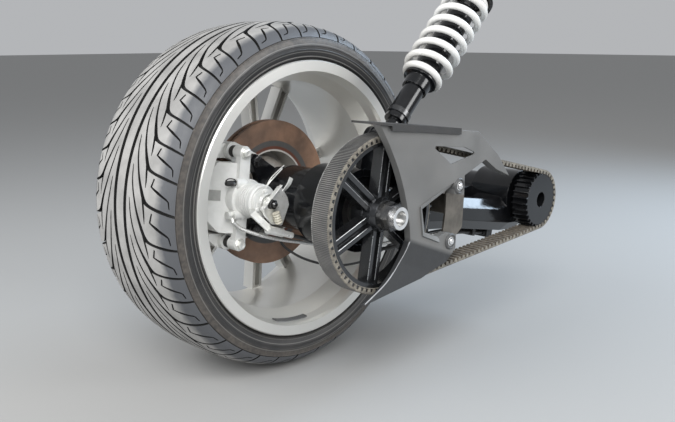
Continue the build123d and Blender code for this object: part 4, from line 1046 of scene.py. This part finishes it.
def on_brake(out, side, y):
    x = axle_x + 0.001 * (out * cos(caliper_turn) - side * sin(caliper_turn))
    z = axle_z + 0.001 * (out * sin(caliper_turn) + side * cos(caliper_turn))
    return Vector((x, 0.001 * y, z))


def brake_direction(out, side, y):
    return on_brake(out, side, y) - on_brake(0, 0, 0)


def hex_head(flats, height, base, hole=0.0):
    """A six-sided head with a bevelled top, closed but for a hole."""
    corner = flats / 2 / cos(pi / 6)
    return ((corner, base), (corner, base + height * 0.8), (corner * 0.88, base + height),
            (hole, base + height))


def raised(rows, height):
    return [(radius, along + height) for radius, along in rows]


def make_carrier_bolts():
    bolts = Shape()
    for out, side in carrier_bolts:
        start = on_brake(out, side, carrier_face)
        bolts.outward(carrier_washer, start)
        bolts.outward(hex_head(*carrier_head), start, 6)
    bolts.piece("carrier_bolts", "swing_arm", "dark_steel", "black_oxide")


def make_pin_heads():
    heads = Shape()
    for out, side in pins:
        heads.outward(pin_cap, on_brake(out, side, pin_cap_face))
        heads.outward(pin_collar, on_brake(out, side, pin_collar_face))
    heads.piece("pin_heads", "swing_arm", "bright_steel", "zinc_plate")


def make_lever_edges():
    """The bent-up edge of the lever's plate, and the washer under its nut."""
    lever = Shape()
    for fold in lever_folds:
        path = [on_brake(out, side, lever_face - lever_edge_lift) for out, side in fold]
        lever.strap(path, belt_side, *lever_fold_size)
    lever.outward(lever_washer, on_brake(drum_out, 0, lever_face + lever_washer_lift))
    lever.piece("lever_edges", "swing_arm", "zinc_steel", "zinc_plate")


def make_lever_nut():
    nut = Shape()
    start = on_brake(drum_out, 0, lever_face)
    nut.outward(hex_head(*lever_nut_head, hole=stud_radius), start, 6)
    nut.outward(lever_stud, start, 16)
    for lift in stud_thread_lifts:
        nut.outward(raised(stud_thread, lift), start, 16)
    nut.piece("lever_nut", "swing_arm", "dark_steel", "black_oxide")


def make_return_spring():
    """The spring's coil and its two straight legs, and the bright tab beside them."""
    spring = Shape()
    coil = []
    for step in range(coil_turns * coil_steps + 1):
        turn = 2 * pi * step / coil_steps
        y = drum_front - coil_start - coil_pitch * step / coil_steps
        coil.append(on_brake(drum_out + coil_radius * cos(turn), coil_radius * sin(turn), y))
    spring.tube(coil, coil_wire)
    for leg in spring_legs:
        spring.tube([on_brake(*spot) for spot in leg], leg_wire)
    spring.strap([on_brake(*spot) for spot in spring_tab], brake_direction(1, 0.4, 0), *tab_size)
    spring.piece("return_spring", "swing_arm", "zinc_steel", "zinc_plate")


def make_drum_rings():
    """The drum's lip, three screws in its face, and the ribs round it, with grooves between them painted
    dark as shade.
    """
    drum = Shape()
    drum.outward(drum_lip, on_brake(drum_out, 0, drum_front), 48)
    for turn in drum_screw_turns:
        spot = (drum_out + drum_screw_out * cos(turn), drum_screw_out * sin(turn), drum_front)
        drum.outward(hex_head(*drum_screw_head), on_brake(*spot), 6)
    for y in drum_grooves:
        start = on_brake(drum_out, 0, y)
        drum.outward(drum_rib, start, 48)
        # the groove between two ribs, dark as painted shade
        drum.outward(drum_groove, start, 48, 1)
    drum.piece("drum_rings", "swing_arm", "cast_aluminium", "cast_aluminium", "pad_lining")


def make_cable_boot():
    boot = Shape()
    rows = list(boot_neck)
    for fold in range(boot_folds):
        rows += raised(boot_ridge, boot_fold * fold)
    low, high = (on_brake(*end) for end in boot_ends)
    boot.turned(rows + [(0.0, boot_length)], low, high, 18)
    boot.piece("cable_boot", "swing_arm", "seal_rubber", "cream_rubber")


def make_bleed_cap():
    """The rubber cap over the bleed nipple, with its strap."""
    bleed = Shape()
    bleed.tube([on_brake(*spot) for spot in bleed_strap], bleed_strap_wire)
    out, side, y = bleed_tip
    bleed.turned(bleed_cap, on_brake(*bleed_tip), on_brake(out + 10, side, y), 16)
    bleed.piece("bleed_cap", "swing_arm", "seal_rubber", "seal_rubber")


def make_cast_pad():
    """A plain pad on the caliper's sloped face; its Y follows the slope."""
    mark = Shape()
    start, y = pad_start
    run, back = pad_slope
    corners = [on_brake(out, side, y + back * (out - start) / run) for out, side in pad_corners]
    mark.slab(corners, brake_direction(back, 0, -run), pad_thickness, pad_bevel)
    mark.piece("cast_pad", "swing_arm", "cast_aluminium", "cast_mark")


# Pulley's worn ring, the painted highlight lines on its rail edges, and the balance weight
pulley_ring = ((0.1330, 0.0014), (0.1334, 0.0008), (0.1346, 0.0008), (0.1350, 0.0014))
weight_section = ((0.2490, -0.1085), (0.2437, -0.1070), (0.2432, -0.0960), (0.2480, -0.0950))
weight_start = -109
weight_sweep = 20
weight_steps = 12
rail_shortest = 0.08
rail_highlight_radius = 0.0006
rail_highlight_ends = (0.06, 0.90)
rail_middle = 0.010
sky_side = Vector((-0.4, 1.0))


def make_wheel_trim():
    """The pulley's worn ring under the belt's teeth, and a balance weight inside the rim."""
    ring = [(radius, belt_low.y + deep) for radius, deep in pulley_ring]
    lathe("pulley_worn_ring", ring, 128, "wheel", ["belt_edge"], closed=False)
    weight = Shape()
    turns = [radians(weight_start + weight_sweep * step / weight_steps) for step in range(weight_steps + 1)]
    weight.sections([[about_axle(radius, turn, y) for radius, y in weight_section] for turn in turns])
    weight.piece("balance_weight", "wheel", "rim_silver", "guard_boss")


def make_pulley_highlights():
    """A thin bright line on each rail of the pulley, on the front edge that catches the sky: a painted
    highlight.
    """
    mesh = bmesh.new()
    mesh.from_mesh(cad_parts["driven_pulley"].data)
    bmesh.ops.remove_doubles(mesh, verts=mesh.verts, dist=same_place)
    edges = []
    for edge in mesh.edges:
        if edge.calc_length() > rail_shortest and edge.calc_face_angle(0) > 1:
            edges.append(sorted((vert.co.copy() for vert in edge.verts), key=axle_reach, reverse=True))
    mesh.free()
    front = min(outer.y for outer, inner in edges)
    lines = Shape()
    for outer, inner in edges:
        if outer.y < front + rail_highlight_radius and rail_side(outer, inner).dot(sky_side) > 0:
            lines.tube([outer.lerp(inner, share) for share in rail_highlight_ends], rail_highlight_radius)
    lines.piece("pulley_rail_highlights", "wheel", "gloss_black", "rail_highlight_paint")


def axle_reach(point):
    return sqrt((point.x - axle_x) ** 2 + (point.z - axle_z) ** 2)


def rail_side(outer, inner):
    """The direction from the middle of the rail to this edge of it, forward and up."""
    along = Vector((outer.x - inner.x, outer.z - inner.z)).normalized()
    across = Vector((-along.y, along.x))
    offset = across.dot(Vector((outer.x - axle_x, outer.z - axle_z)))
    return across * offset * (abs(offset) - rail_middle)


# Belt guard: the moulded skin is bent along its creases, inside the depth of its return.
# Places are forward and up from the axle.
fold_start = Vector((0.049, -0.050))
fold_end = Vector((0.173, -0.100))
fold_along = (fold_end - fold_start).normalized()
below_fold = Vector((fold_along.y, -fold_along.x))
fold_slope = 0.13
guard_arc_middle = (-0.140, -0.160)
guard_arc_radius = 0.376
guard_arc_slope = 0.09
guard_arc_deepest = 0.006
guard_deepest = 0.012
guard_grid = 0.008
guard_sharp = 6.5
guard_boss = ((0.0160, -0.0160), (0.0160, 0.0006), (0.0150, 0.0022), (0.0135, 0.0030), (0.0122, 0.0022),
              (0.0112, -0.0010), (0.0, -0.0012))
button_head = ((0.0088, 0.0002), (0.0088, 0.0012), (0.0070, 0.0016), (0.0070, 0.0026), (0.0060, 0.0046),
               (0.0042, 0.0054), (0.0030, 0.0055))
button_socket = ((0.0032, 0.0056), (0.0030, 0.0030), (0.0, 0.0028))
# The screws, the ledge set back inside the lower opening, and the bead along the lower edge, both pale as
# painted highlight, in millimetres
guard_screws = ((192, 31), (174, -77))
ledge_outside = ((175, 40), (76, 7), (85, -50), (137, -72))
ledge_inside = ((172, 31), (85, 1), (94, -45), (139, -63))
ledge_depths = (0.003, 0.007, 0.009, 0.009)
bead_radius = 0.0011
bead_depth = 0.0004
bead_forward = 1
lower_edge_highlight = ((49, -55), (39, -74), (24, -93), (2, -113), (-22, -128), (-67, -148))


def guard_sink(x, z):
    """How far the skin lies inside its flat plane at this place from the axle."""
    below = (Vector((x, z)) - fold_start).dot(below_fold)
    reach = sqrt((x - guard_arc_middle[0]) ** 2 + (z - guard_arc_middle[1]) ** 2)
    arc_sink = min(guard_arc_deepest, guard_arc_slope * max(0.0, guard_arc_radius - reach))
    return min(guard_deepest, fold_slope * max(0.0, below) + arc_sink)


def make_guard():
    low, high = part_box("belt_guard")
    mesh = bmesh.new()
    mesh.from_mesh(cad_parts["belt_guard"].data)
    cuts = []
    for normal in (Vector((1, 0, 0)), Vector((0, 0, 1))):
        place = low.dot(normal) + guard_grid
        while place < high.dot(normal):
            cuts.append((normal * place, normal))
            place += guard_grid
    cuts.append(((axle_x + fold_start.x, 0.0, axle_z + fold_start.y), (below_fold.x, 0.0, below_fold.y)))
    for point, normal in cuts:
        everything = mesh.verts[:] + mesh.edges[:] + mesh.faces[:]
        bmesh.ops.bisect_plane(mesh, geom=everything, dist=same_place, plane_co=point, plane_no=normal)
    bmesh.ops.triangulate(mesh, faces=mesh.faces)
    depth = high.y - low.y
    for vert in mesh.verts:
        share = (high.y - vert.co.y) / depth
        vert.co.y += share * guard_sink(vert.co.x - axle_x, vert.co.z - axle_z)
    data = bpy.data.meshes.new("guard_shell")
    mesh.to_mesh(data)
    mesh.free()
    shell = add_finished("guard_shell", data, ["guard_plastic"], [0] * len(data.polygons), guard_sharp)
    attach(shell, "swing_arm")
    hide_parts("belt_guard")


def on_guard(forward, up, deep):
    """A place on the guard, given in millimetres and as far inside its flat plane."""
    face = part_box("belt_guard")[0].y
    return Vector((axle_x + 0.001 * forward, face + deep, axle_z + 0.001 * up))


def make_guard_screws():
    """Button heads with a six-sided socket, each in a round boss of the guard."""
    screws = Shape()
    bosses = Shape()
    for forward, up in guard_screws:
        start = on_guard(forward, up, guard_sink(0.001 * forward, 0.001 * up))
        # the boss is dark as painted shade round the screw
        bosses.outward(guard_boss, start, 32)
        screws.outward(button_head, start, 32)
        screws.outward(button_socket, start, 6)
    # the ledge, paler than the guard as painted highlight
    ledge = []
    for outer, inner in zip(ledge_outside, ledge_inside):
        spots = zip((outer, inner, inner, outer), ledge_depths)
        ledge.append([on_guard(*spot, deep) for spot, deep in spots])
    bosses.sections(ledge, 1)
    # a pale bead along the lower edge, as painted highlight
    bead = []
    for forward, up in lower_edge_highlight:
        deep = guard_sink(0.001 * forward, 0.001 * up) + bead_depth
        bead.append(on_guard(forward + bead_forward, up, deep))
    bosses.tube(bead, bead_radius, 2)
    bosses.piece("guard_bosses", "swing_arm", "guard_plastic", "guard_boss", "guard_ledge", "guard_edge_highlight")
    heads = screws.piece("guard_screw_heads", "swing_arm", "dark_steel", "bright_steel")
    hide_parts("guard_bolts")


piece_makers = (
    make_carcass, make_tread, make_rib, make_belt, make_carrier_bolts, make_pin_heads, make_lever_edges,
    make_lever_nut, make_return_spring, make_drum_rings, make_cable_boot, make_bleed_cap, make_cast_pad,
    make_guard, make_guard_screws, make_wheel_trim, make_pulley_highlights,
)

make_camera()
make_floor()
make_world()
for lamp in lamps:
    make_lamp(*lamp)
materials = make_materials()
finish_nodes()
for make_pieces in piece_makers:
    make_pieces()

bpy.context.scene.view_settings.view_transform = "Standard"
